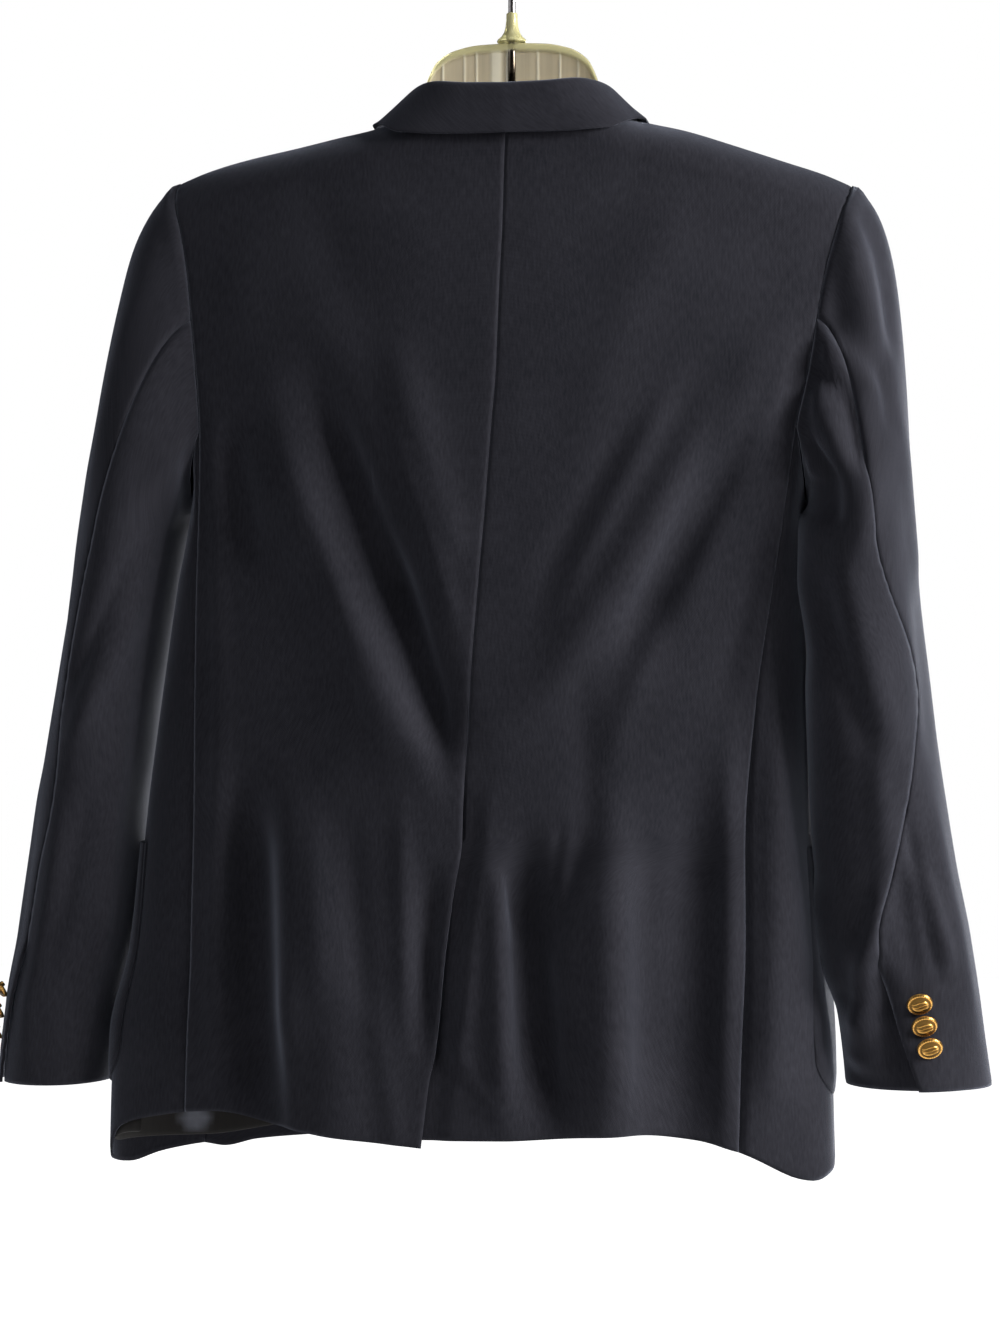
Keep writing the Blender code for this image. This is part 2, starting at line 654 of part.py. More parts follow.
def lifted(surface, distance):
    """Points of a surface moved out along its normal."""
    step = 0.0005
    zero = surface(0.0, 0.0)
    across = surface(step, 0.0) - surface(-step, 0.0)
    down = surface(0.0, step) - surface(0.0, -step)
    normal = np.cross(across, down)
    normal /= np.linalg.norm(normal, axis=-1)[..., None]
    away = zero - body_centre(zero)
    flip = np.sign((normal * away).sum(axis=-1))[..., None]
    return zero + normal * flip * distance


def flank_column(place, drops, side, lift):
    """Points down one line of the side panel (place 0 to 1) or the front (1 to 2), lifted off it."""
    if place <= 1:
        return lifted(lambda dt, dh: side_point(place + dt + 0 * drops, drops + dh, side), lift)

    def on_front(dx, dh):
        inner = smooth(drops + dh, FRONT_EDGE)
        share = 2 - place
        across = inner + (half_width("front_half", drops + dh, side) - inner) * share
        return front_point(across + dx, drops + dh, side)

    return lifted(on_front, lift)


def pocket_grid(side):
    level = np.array([0.5 * (POCKET_TOP + POCKET_BOTTOM)])
    line = [flank_column(place, level, side, 0.0)[0] for place in POCKET_PLACES]
    run = np.concatenate([[0], np.cumsum(np.linalg.norm(np.diff(line, axis=0), axis=1))])
    near = np.minimum(run, run[-1] - run)
    dip = np.clip(POCKET_CORNER - near, 0, POCKET_CORNER)
    bottom = POCKET_BOTTOM - (POCKET_CORNER - np.sqrt(POCKET_CORNER ** 2 - dip ** 2))
    columns = []
    for place, low in zip(POCKET_PLACES, bottom):
        columns.append(flank_column(place, np.linspace(POCKET_TOP, low, POCKET_ROWS), side, POCKET_LIFT))
    return np.array(columns)


def lining_grid():
    columns = []
    for place in LINING_PLACES:
        fore = ramp(place, 1.0, LINING_PLACES[-1])
        hind = 1 - ramp(place, 0.15, 0.6)
        low = LINING_HEM - LINING_RISE * (fore + hind)
        columns.append(flank_column(place, np.linspace(LINING_TOP, low, LINING_ROWS), 1, -LINING_DEPTH))
    return np.array(columns)


def collar_grid():
    """Collar strip from the stand's foot over the roll line to the fall's edge."""
    spans = np.linspace(-1, 1, 2 * COLLAR_STATIONS + 1)
    columns = []
    for span in spans:
        v = abs(span)
        sign = 1 if span >= 0 else -1
        roll = np.array([sign * smooth(v, COLLAR_ROLL, 1), smooth(v, COLLAR_ROLL, 2), -smooth(v, COLLAR_ROLL, 3)])
        fall = np.array([sign * smooth(v, COLLAR_FALL, 1), smooth(v, COLLAR_FALL, 2), -smooth(v, COLLAR_FALL, 3)])
        ahead = np.array([smooth(v + 0.01, COLLAR_ROLL, k) - smooth(v - 0.01, COLLAR_ROLL, k) for k in (1, 2, 3)])
        tangent = np.array([sign * ahead[0], ahead[1], -ahead[2]]) * sign
        if v == 0:
            tangent = np.array([1.0, 0.0, 0.0])
        down = (fall - roll) / np.linalg.norm(fall - roll)
        out = np.cross(tangent, down)
        out /= np.linalg.norm(out)
        turn = min(v / 0.56, 1) * np.pi / 2
        seam = np.array([sign * (NECK_HALF - WALL) * np.sin(turn), 0.050 * np.cos(turn), 0.0])
        seam[2] = -float(neck_drop(seam[0])) + 0.0012
        tuck = roll - out * (ROLL_RADIUS + 0.0035) + down * STAND_FRONT
        foot = seam + (tuck - seam) * ramp(v, 0.50, 0.80)
        inside = roll - out * ROLL_RADIUS + down * ROLL_RADIUS * 1.3
        outside = roll + out * ROLL_RADIUS + down * ROLL_RADIUS * 1.3
        columns.append([
            foot,
            foot + (inside - foot) * 0.5,
            inside,
            roll - out * ROLL_RADIUS * 0.6 + down * ROLL_RADIUS * 0.25,
            roll + out * ROLL_RADIUS * 0.6 + down * ROLL_RADIUS * 0.25,
            outside,
            outside + (fall - outside) * 0.35,
            outside + (fall - outside) * 0.7,
            fall,
        ])
    grid = np.array(columns)
    clear_of_body(grid[:, 5:])
    grid[..., 0] += body("swing", -grid[..., 2])
    return grid


def clear_of_body(points):
    """Moves points that lie too near the shoulders or fronts out, by a cloth layer."""
    drop = -points[..., 2] + 0.0030
    x = points[..., 0]
    behind = back_point(x, drop)[..., 1]
    ahead = np.where(x > 0, front_point(np.abs(x), drop, 1)[..., 1], front_point(np.abs(x), drop, -1)[..., 1])
    edge = np.where(np.abs(x) < NECK_HALF, neck_drop(x), ridge(x))
    over = ramp(drop, edge - 0.012, edge)
    y = points[..., 1]
    clear = np.where(y > 0, np.maximum(y, behind + LAYER), np.minimum(y, ahead - LAYER))
    points[..., 1] = y + (clear - y) * over


def collar_out(grid):
    """Normals of the collar strip on the outside of its fall."""
    normals = normals_of(grid)
    return normals if normals[len(grid) // 2, -2, 1] > 0 else -normals


def add_button(name, point, normal, material, scale=1.0):
    """Domed shank button standing on a point of the cloth."""
    normal = np.asarray(normal, float) / np.linalg.norm(normal)
    side = np.cross(normal, [0.0, 0.0, 1.0])
    side /= np.linalg.norm(side)
    up = np.cross(side, normal)
    angles = np.linspace(0, 2 * np.pi, BUTTON_SIDES, endpoint=False)
    circle = np.cos(angles)[:, None] * side + np.sin(angles)[:, None] * up
    base = np.asarray(point) + normal * BUTTON_LIFT
    profile = [(SHANK_RADIUS * 0.8, 0.0), (SHANK_RADIUS, 0.0006)]
    profile += [(r, h + 0.0012) for r, h in reversed(BUTTON_PROFILE) if r > 0]
    rings = [base + normal * h * scale + circle * r * scale for r, h in profile]
    tip = base + normal * (BUTTON_PROFILE[0][1] + 0.0012) * scale
    rings.append(tip + circle * 0.0008 * scale)
    add_sweep(name, rings, material)


def hanger_rings():
    """Section of the moulded hanger carried from one end to the other."""
    spans = np.linspace(-1, 1, 2 * HANGER_STEPS + 1)
    rings = []
    for span in spans:
        x = span * HANGER_HALF
        under = float(ridge(x - float(body("swing", 0.15)))) + HANGER_UNDER
        join = float(ramp(abs(x), *HANGER_JOIN))
        drop = float(smooth(abs(x), HANGER_ARCH)) * (1 - join) + under * join
        wide, web, deep = (float(smooth(abs(x), HANGER_SIZES, k)) for k in (1, 2, 3))
        right = [
            (0.5 * wide, -0.07 * wide),
            (wide, -0.4 * wide),
            (wide, -0.4 * wide - HANGER_RIM),
            (web, -0.3 * wide - HANGER_RIM),
            (web, -deep + HANGER_FOOT),
            (1.8 * web, -deep),
        ]
        section = right + [(-y, z) for y, z in reversed(right)]
        rings.append([(x, y, -drop + z) for y, z in section])
    return rings


def wire_rings(path, radius, sides=8):
    path = np.asarray(path, float)
    tangents = np.gradient(path, axis=0)
    tangents /= np.linalg.norm(tangents, axis=1)[:, None]
    across = np.array([0.0, 1.0, 0.0])
    rings = []
    for point, tangent in zip(path, tangents):
        other = np.cross(tangent, across)
        other /= np.linalg.norm(other)
        angles = np.linspace(0, 2 * np.pi, sides, endpoint=False)
        rings.append(point + radius * (np.cos(angles)[:, None] * across + np.sin(angles)[:, None] * other))
    return rings


def hook_path():
    """Straight shank, a short swing aside, then the round of the hook."""
    turn = np.radians(np.linspace(*HOOK_TURNS, HOOK_STEPS))
    middle = -HOOK_RADIUS + HOOK_WIRE
    arc = np.stack([-HOOK_RADIUS * np.cos(turn), 0 * turn, middle + HOOK_RADIUS * np.sin(turn)], axis=-1)
    shank = np.array([(x, 0.0, -drop) for x, drop in HOOK_SHANK])
    return np.concatenate([shank, arc])


def material(name, color, metallic, roughness):
    made = bpy.data.materials.new(name)
    made.use_nodes = True
    shader = made.node_tree.nodes["Principled BSDF"]
    shader.inputs["Base Color"].default_value = (*color, 1.0)
    shader.inputs["Metallic"].default_value = metallic
    shader.inputs["Roughness"].default_value = roughness
    return made


def build():
    for old in list(bpy.data.objects):
        bpy.data.objects.remove(old, do_unlink=True)
    wool = material("navy_wool", (0.012, 0.014, 0.026), 0.0, 0.85)
    satin = material("lining_satin", (0.10, 0.09, 0.09), 0.0, 0.45)
    gold = material("gold_metal", (0.75, 0.52, 0.20), 1.0, 0.3)
    clear = material("clear_plastic", (0.85, 0.82, 0.66), 0.0, 0.15)
    steel = material("hook_metal", (0.60, 0.60, 0.58), 1.0, 0.25)

    panels = {}
    for side, word in ((1, "left"), (-1, "right")):
        back, flank, front = back_panel(side), side_panel(side), front_panel(side)
        for name, grid in (("back", back), ("side", flank), ("front", front)):
            panels[f"{name}_{word}"] = (grid, facing_out(grid, normals_of(grid), body_centre))
        tube = sleeve_tube(side, armhole(back, flank, front))
        centre = tube.mean(axis=0, keepdims=True)
        normals = facing_out(tube, normals_of(tube, closed=True), lambda grid: centre)
        count = len(tube)
        over = [c % count for c in range(FORE_COLUMN, count + HIND_COLUMN + 1)]
        under = list(range(HIND_COLUMN, FORE_COLUMN + 1))
        panels[f"top_sleeve_{word}"] = (tube[over], normals[over])
        panels[f"under_sleeve_{word}"] = (tube[under], normals[under])
    share_seams(list(panels.values()))
    for name, (grid, normals) in panels.items():
        add_wall(name, grid, normals, wool)

    for side, word in ((1, "left"), (-1, "right")):
        for name, grid in (("lapel", lapel_grid(side)), ("pocket", pocket_grid(side))):
            add_wall(f"{name}_{word}", grid, facing_out(grid, normals_of(grid), body_centre), wool)
    grid = lining_grid()
    add_wall("lining_left", grid, facing_out(grid, normals_of(grid), body_centre), satin, LINING_WALL)
    grid = collar_grid()
    add_wall("collar", grid, collar_out(grid), wool)

    for side, word in ((1, "left"), (-1, "right")):
        for index, drop in enumerate(CUFF_BUTTON_DROPS):
            hind = float(smooth(drop, SLEEVES[side], SLEEVE_COLUMNS.index("hind")))
            here = sleeve_ring(side, np.array([hind - 0.055]), np.array([drop]))[0]
            ahead = sleeve_ring(side, np.array([hind - 0.045]), np.array([drop]))[0]
            lower = sleeve_ring(side, np.array([hind - 0.055]), np.array([drop + 0.01]))[0]
            normal = np.cross(ahead - here, lower - here)
            middle = sleeve_ring(side, np.array([0.0, 0.5]), np.array([drop, drop])).mean(axis=0)
            if np.dot(normal, here - middle) < 0:
                normal = -normal
            add_button(f"cuff_button_{word}_{index + 1}", here, normal, gold)
    for index, drop in enumerate(FRONT_BUTTON_DROPS):
        here = front_point(np.array(0.0), np.array(drop), 1)
        add_button(f"front_button_{index + 1}", here, (0, -1, 0), gold, FRONT_BUTTON_SCALE)

    add_sweep("hanger_body", hanger_rings(), clear)
    add_sweep("hanger_hook", wire_rings(hook_path(), HOOK_WIRE), steel)
    angles = np.linspace(0, 2 * np.pi, 16, endpoint=False)
    cone = []
    for radius, drop in NECK_CONE:
        cone.append(np.stack([radius * np.cos(angles), radius * np.sin(angles), 0 * angles - drop], axis=-1))
    add_sweep("hanger_neck", cone, clear)


build()
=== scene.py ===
"""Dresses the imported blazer: creased cloth shells, gold buttons and a clear moulded hanger.

Heights are written as drops below the inside top of the hook. Sizes are in metres, except in
the tables that in_metres turns from millimetres. The front faces -Y and the left side of the
coat is +X, so the view from behind looks towards -Y.
"""

import bmesh
import bpy
import numpy as np
from bpy.props import FloatProperty, FloatVectorProperty, PointerProperty
from bpy.types import Operator, Panel, PropertyGroup
from mathutils import Matrix, Vector


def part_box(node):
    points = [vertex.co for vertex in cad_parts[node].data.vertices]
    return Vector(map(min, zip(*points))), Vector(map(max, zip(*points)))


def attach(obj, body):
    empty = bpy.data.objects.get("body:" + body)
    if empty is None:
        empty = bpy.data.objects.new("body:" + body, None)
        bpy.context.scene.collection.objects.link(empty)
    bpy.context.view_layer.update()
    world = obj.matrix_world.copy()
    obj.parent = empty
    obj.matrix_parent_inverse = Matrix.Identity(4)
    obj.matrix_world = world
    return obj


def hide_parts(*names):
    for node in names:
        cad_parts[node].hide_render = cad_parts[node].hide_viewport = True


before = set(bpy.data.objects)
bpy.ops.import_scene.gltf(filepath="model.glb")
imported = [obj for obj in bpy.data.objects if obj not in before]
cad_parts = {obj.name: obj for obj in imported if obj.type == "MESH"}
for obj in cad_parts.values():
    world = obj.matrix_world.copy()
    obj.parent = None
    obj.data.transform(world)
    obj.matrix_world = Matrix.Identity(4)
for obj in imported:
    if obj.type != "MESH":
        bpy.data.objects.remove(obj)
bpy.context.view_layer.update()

bl_info = {
    "name": "Blazer on a Hanger",
    "version": (1, 0, 0),
    "blender": (4, 5, 0),
    "location": "3D View > Sidebar > Blazer",
    "description": "Builds a navy blazer that hangs on a clear moulded hanger, seen from behind",
    "category": "Object",
}

BODY_NAME = "root"
SIDES = ((1, "left"), (-1, "right"))


def in_metres(rows):
    """A table of sizes written in millimetres."""
    return np.array(rows) / 1000


# Cloth walls and layers
LAYER = 0.0023
LINING_WALL = 0.0010

# Shoulder line in millimetres: half width from the centre, drop
SHOULDER_RIDGE = in_metres([
    (0, 97), (30, 106), (60, 120), (80, 128), (93, 132.5), (120, 138.5), (150, 146.5),
    (187, 156.5), (213, 164.5), (236, 174),
])
SHOULDER_LEAN = 0.024
SHOULDER_ROUNDING = 0.030
NECK_HALF = 0.093
NECK_DROP = 0.1395
TIP_HALF = 0.2335

# Body by drop, in millimetres: sideways swing, half widths and depths from the middle plane
BODY_COLUMNS = (
    "drop", "swing", "back_half", "side_half", "side_half_right", "front_half", "front_half_right",
    "back_mid", "back_edge", "front_mid", "front_edge",
)
BODY = in_metres([
    (130, -1, 233.5, 236, 236, 233.5, 233.5, 50, 20, 30, 18),
    (175, 0, 233.5, 232, 232, 233.5, 233.5, 56, 24, 45, 22),
    (205, 0, 226, 226, 226, 222, 222, 62, 34, 54, 31),
    (235, 1, 219, 222, 222, 210, 210, 66, 40, 60, 37),
    (270, 2, 213.5, 218, 218, 199, 199, 70, 45, 65, 41),
    (305, 3, 209, 215, 215, 192, 192, 73, 47, 68, 43),
    (345, 6, 203.5, 212, 212, 188, 188, 75, 48, 70, 44),
    (400, 10, 200, 212, 212, 187, 197, 77, 49, 71, 45),
    (450, 14.5, 197, 218, 217.5, 186, 218, 77, 49, 71, 45),
    (530, 21, 192, 224.5, 223.5, 186, 232, 76, 48, 70, 45),
    (615, 25, 189, 232, 228, 188, 237.5, 76, 47, 69, 45),
    (700, 26, 190, 240.5, 235, 192, 240, 78, 47, 69, 46),
    (760, 28.5, 190, 252.5, 245.5, 195, 244, 80, 48, 70, 47),
    (860, 31, 190, 253.5, 253.5, 198, 240, 82, 49, 72, 48),
])
GIRTH_POWER = 2.2

# Rows of the panels
YOKE_ROWS = (0.0, 0.0146, 0.0526, 0.117, 0.234, 0.380, 0.555, 0.750, 1.0)
SKIRT_DROPS = (
    0.345, 0.368, 0.392, 0.416, 0.440, 0.466, 0.492, 0.518, 0.544, 0.571,
    0.600, 0.621, 0.642, 0.668, 0.694, 0.720, 0.746, 0.771, 0.796, 0.820,
)
ARMPIT_EASE = 0.470
HEM_EASE = 0.700
NECK_STEPS = 4
SHOULDER_STEPS = 7
SIDE_STEPS = 6

# Scye drop along the side panel, from its back seam to its front seam
SCYE_DROP = np.array([(0.0, 0.345), (0.25, 0.378), (0.5, 0.394), (0.75, 0.390), (1.0, 0.375)])

# Hem drops by fraction of each panel, from the centre outwards or from back to front
BACK_HEM = {
    1: np.array([(0.0, 0.826), (0.35, 0.820), (0.6, 0.814), (0.85, 0.807), (1.0, 0.809)]),
    -1: np.array([(0.0, 0.821), (0.35, 0.820), (0.7, 0.816), (0.88, 0.821), (1.0, 0.829)]),
}
SIDE_HEM = {
    1: np.array([
        (0.0, 0.809), (0.3, 0.824), (0.5, 0.849), (0.7, 0.8545), (0.85, 0.849), (1.0, 0.844),
    ]),
    -1: np.array([
        (0.0, 0.829), (0.2, 0.8485), (0.28, 0.8505), (0.42, 0.8460), (0.5, 0.8440), (1.0, 0.842),
    ]),
}
FRONT_HEM = {
    1: np.array([(0.0, 0.836), (0.4, 0.839), (0.7, 0.842), (0.88, 0.8465), (1.0, 0.844)]),
    -1: np.array([(0.0, 0.834), (0.5, 0.8355), (0.78, 0.837), (0.9, 0.839), (1.0, 0.842)]),
}

# Vent: flap edge and underlap edge, measured from the middle
VENT_TOP = 0.619
FLAP_EDGE = in_metres([
    (600, -2), (619, -2), (662, 4.5), (707, 10), (764, 12.7), (781, 15.5), (830, 20.5),
])
CENTRE_SHIFT = -0.002
UNDERLAP = 0.046
UNDERLAP_TUCK = 0.0032

# Front: break line and front edge, measured from the middle
FRONT_EDGE = in_metres([
    (132.5, 93), (150, 89), (185, 80), (250, 60), (350, 29), (450, -4), (490, -18), (530, -20),
    (640, -20), (720, -6), (770, 13), (800, 30), (822, 52), (838, 80),
])
WRAP_TUCK = 0.0056
LAPEL_EDGE = in_metres([
    (185, 125), (200, 142), (212, 151), (235, 144), (300, 118), (380, 79), (440, 43), (475, 14),
    (490, -4),
])
LAPEL_ROWS = 12
LAPEL_STEPS = 4
GORGE_DROP = 0.192
GORGE_SLOPE = 0.020
LAPEL_END = 0.484
LAPEL_LIFT = 0.0024

# Largest folds: start x and drop, end x and drop, half width, depth outward, on the back
FOLD_COLUMNS = ("x0", "drop0", "x1", "drop1", "half_width", "depth")
BACK_FOLDS = in_metres([
    (124, 320, 28, 560, 17, -6), (150, 370, 70, 560, 18, 4.5), (68, 300, 30, 430, 15, 3),
    (186, 350, 170, 430, 12, -3), (171, 600, 160, 800, 16, -7.5), (120, 640, 112, 840, 26, 5),
    (44, 650, 46, 760, 10, -4.5), (-176, 300, -40, 510, 18, 4.5),
    (-162, 362, -95, 480, 14, -4.5), (-133, 600, -122, 840, 24, -8.5),
    (-21, 635, -34, 800, 13, -8), (-70, 640, -78, 840, 22, 5.5), (-2, 640, -6, 800, 10, 3.5),
])
FOLD_FADE = 0.22

# Sleeves by drop: centre, half widths, hind and fore seam turns (0 outward, 0.25 back)
SLEEVE_COLUMNS = ("drop", "centre_x", "centre_y", "half_x", "half_y", "hind", "fore")
SLEEVES = {
    1: np.array([
        (0.340, 0.2510, 0.004, 0.0355, 0.066, 0.215, 0.63),
        (0.400, 0.2637, 0.004, 0.0368, 0.067, 0.198, 0.64),
        (0.450, 0.2729, 0.003, 0.0359, 0.066, 0.180, 0.65),
        (0.528, 0.2855, 0.001, 0.0355, 0.064, 0.165, 0.66),
        (0.568, 0.2915, -0.001, 0.0365, 0.062, 0.180, 0.66),
        (0.600, 0.2980, -0.004, 0.0380, 0.060, 0.190, 0.67),
        (0.643, 0.3036, -0.008, 0.0406, 0.057, 0.165, 0.67),
        (0.690, 0.3104, -0.013, 0.0424, 0.055, 0.152, 0.68),
        (0.740, 0.3217, -0.018, 0.0417, 0.054, 0.135, 0.68),
        (0.800, 0.3275, -0.024, 0.0400, 0.055, 0.100, 0.68),
    ]),
    -1: np.array([
        (0.340, 0.2370, 0.004, 0.0340, 0.068, 0.165, 0.63),
        (0.390, 0.2396, 0.004, 0.0344, 0.069, 0.125, 0.64),
        (0.450, 0.2422, 0.003, 0.0363, 0.067, 0.100, 0.65),
        (0.517, 0.2460, 0.001, 0.0405, 0.062, 0.100, 0.66),
        (0.560, 0.2489, -0.001, 0.0426, 0.058, 0.140, 0.66),
        (0.600, 0.2528, -0.004, 0.0447, 0.055, 0.185, 0.67),
        (0.640, 0.2573, -0.008, 0.0467, 0.052, 0.235, 0.67),
        (0.690, 0.2648, -0.013, 0.0487, 0.049, 0.285, 0.68),
        (0.740, 0.2725, -0.018, 0.0485, 0.046, 0.262, 0.68),
        (0.800, 0.2788, -0.024, 0.0502, 0.044, 0.222, 0.68),
    ]),
}
CUFF_DROP = {1: 0.7955, -1: 0.7895}
CAP_ROWS = 7
TUBE_ROWS = 13
TUBE_START = 0.418
HIND_COLUMN = 6
SEAM_SLIDE = {1: 0.0, -1: 8.0}
SLIDE_WIDTH = 16.0
FORE_COLUMN = 15

# Collar stations from the centre back forwards: roll line x, y, drop
COLLAR_ROLL = np.array([
    (0.00, 0.000, 0.0460, 0.1090),
    (0.20, 0.028, 0.0440, 0.1080),
    (0.38, 0.049, 0.0330, 0.1055),
    (0.52, 0.0615, 0.0150, 0.1075),
    (0.60, 0.0695, -0.0010, 0.1155),
    (0.66, 0.0755, -0.0095, 0.1220),
    (0.74, 0.0830, -0.0195, 0.1325),
    (0.82, 0.0828, -0.0288, 0.1470),
    (0.90, 0.0798, -0.0374, 0.1630),
    (1.00, 0.0750, -0.0432, 0.1820),
])
COLLAR_FALL = np.array([
    (0.00, 0.000, 0.0585, 0.1455),
    (0.20, 0.040, 0.0560, 0.1450),
    (0.38, 0.072, 0.0440, 0.1420),
    (0.50, 0.090, 0.0210, 0.1325),
    (0.60, 0.0940, 0.0035, 0.1325),
    (0.68, 0.1000, -0.0110, 0.1410),
    (0.82, 0.112, -0.0330, 0.1560),
    (1.00, 0.118, -0.0440, 0.1860),
])
COLLAR_STATIONS = 12
ROLL_RADIUS = 0.0038
STAND_FRONT = 0.008
FALL_STAND = 0.0022

# Patch pockets: columns along the side panel and front, top and bottom drops, corner radius
POCKET_PLACES = (0.29, 2 / 6, 0.5, 4 / 6, 5 / 6, 1.0, 8 / 7, 9 / 7, 10 / 7, 11 / 7)
POCKET_LIFT = 0.0029
POCKET_TOP = 0.626
POCKET_BOTTOM = 0.796
POCKET_CORNER = 0.032

# Lining inside the left front
LINING_TOP = 0.700
LINING_HEM = 0.838
LINING_RISE = 0.012
LINING_DEPTH = 0.0023
LINING_PLACES = (1 / 6, 2 / 6, 3 / 6, 4 / 6, 5 / 6, 1.0, 8 / 7, 9 / 7, 10 / 7, 11 / 7, 12 / 7)

# Hanger
HANGER_ARCH = in_metres([
    (0, 74.5), (23, 75.5), (40, 79), (52, 86.5), (58.5, 98.5), (63, 114), (68, 125),
    (80, 133.5),
])
HANGER_SIZES = in_metres([
    (0, 3, 1.2, 64), (45, 3, 1.2, 64), (60, 3, 1.2, 59), (85, 5.8, 1.6, 39),
    (105, 9.2, 2.6, 23), (125, 12.8, 3.8, 18), (150, 15.5, 5, 18), (170, 15.5, 5.2, 18),
    (212, 12.5, 5.2, 12),
])
HANGER_RIM = 0.0035
HANGER_FOOT = 0.003
HANGER_UNDER = 0.0034
HANGER_JOIN = (0.072, 0.090)
HANGER_HALF = 0.212
HANGER_STEPS = 22
HOOK_WIRE = 0.0019
HOOK_RADIUS = 0.0215
HOOK_TURNS = (-72, 200)
HOOK_STEPS = 27
HOOK_SHANK = (
    (0.0, 0.0580),
    (0.0, 0.0530),
    (0.0, 0.0480),
    (0.0, 0.0450),
    (-0.0011, 0.0424),
    (-0.0035, 0.0407),
)

# Sewing: a seam's groove, a folded edge's roundness, the cloth's slow unevenness, the pockets'
# stitching and pressed edge, the lining's painted highlight, the cuff's lap and the sleeve head's
# bead
CLOTH_WALL = 0.0016
SEAM_DEPTH = 0.0005
SEAM_WIDTH = 0.0018
EDGE_ROUNDING = 0.0004
EDGE_REACH = 0.0016
PUCKER_REACH = 0.006
SLOW_WAVE = 0.0007
FOLD_EXTRA = 0.7
POCKET_ROWS = 43
STITCH_INSET = 0.0028
STITCH_WIDTH = 0.0011
STITCH_DEPTH = 0.0005
PRESSED_WIDTH = 0.007
PRESSED_DEPTH = 0.0011
LINING_ROWS = 24
# Place and size of the painted highlight on the lining
PAINTED_HIGHLIGHT_SPOT = (0.2335, 0.8260)
PAINTED_HIGHLIGHT_SPOT_SIZE = (0.011, 0.009)
VENT_START = 0.690
CUFF_LIFT = 0.0042
CUFF_LAP = 0.006
CUFF_LAP_RUN = 0.02
CUFF_LAP_WIDTH = 0.030
BEAD_HEIGHT = 0.0016
BEAD_PLACE = 0.005
BEAD_WIDTH = 0.006
BEAD_DROPS = (0.20, 0.30)

# Buttons: outline from the face to the shank, as shares of the radius, and the face's relief
BUTTON_PROFILE = (
    (0.0, 0.62), (0.12, 0.618), (0.24, 0.61), (0.36, 0.595), (0.46, 0.575), (0.56, 0.55),
    (0.64, 0.52), (0.71, 0.485), (0.76, 0.455), (0.80, 0.47), (0.85, 0.475), (0.90, 0.455),
    (0.945, 0.41), (0.975, 0.35), (1.0, 0.27), (0.985, 0.20), (0.93, 0.15), (0.60, 0.10),
    (0.30, 0.06), (0.24, 0.02), (0.22, -0.06), (0.22, -0.30),
)
BUTTON_DOME = 0.8
BUTTON_STEPS = 72
ROPE_RELIEF = 0.045
CURL_RELIEF = 0.105
CURL_SHIFTS = (-0.24, 0.0, 0.24)
CUFF_BUTTON_LIFT = 0.0015

# Hook and hanger: the finer forms that the solids leave out
SHANK_END = 0.112
SHANK_SWELL = 0.0004
SWELL_DROPS = (0.070, 0.074)
# Drops over which the hook wire turns dark: painted shade inside the moulding
BURIED_DROPS = (0.0735, 0.0755)
WIRE_EXTRA = 0.0006
HANGER_FINE_HALF = 0.064
HANGER_FINE_STEPS = 257
RIB_HEIGHT = 0.0007
RIM_EXTRA = 0.0012
RIM_FADE = 0.0012
NECK_BELL = (
    (0.0027, 0.0536),
    (0.0038, 0.0544),
    (0.0039, 0.0590),
    (0.0044, 0.0635),
    (0.0054, 0.0672),
    (0.0074, 0.0704),
    (0.0096, 0.0722),
    (0.0104, 0.0736),
    (0.0098, 0.0744),
    (0.0040, 0.0745),
)
# Upright ribs of the hanger's web, which also place its painted highlight: place, half width,
# height share
RIBS = (
    (-0.0460, 0.0009, 0.5),
    (-0.0335, 0.0008, 0.6),
    (-0.0180, 0.0010, 0.5),
    (0.0022, 0.0016, 0.9),
    (0.0110, 0.0040, 0.8),
    (0.0245, 0.0008, 0.6),
    (0.0330, 0.0009, 0.5),
    (0.0480, 0.0009, 0.6),
)

# Stage and view
FLOOR_HALF = 6.0
SEEN_WHITE = 1.0
FRONT_POWER = 70.0
COAT_MIDDLE = (0.0, 0.0, -0.45)
COAT_CHEST = (0.0, 0.0, -0.3)
WARM_WHITE = (1.0, 0.99, 0.97)
COOL_WHITE = (0.95, 0.97, 1.0)
PLAIN_WHITE = (1.0, 1.0, 1.0)
ROOM_LIGHT = 0.04
CAMERA_PLACE = (-0.29788, 2.17859, -0.5044)
CAMERA_AIM = (0.0083, 0.0, -0.5044)
CAMERA_LENS = 86.11

# Finer spacing than the solids: points added between two of their rows or columns
BODY_FINE = 8
SIDE_FINE = 5
SLEEVE_FINE = 5
FLAT_FINE = 6
SLEEVE_GIRTH = 0.31

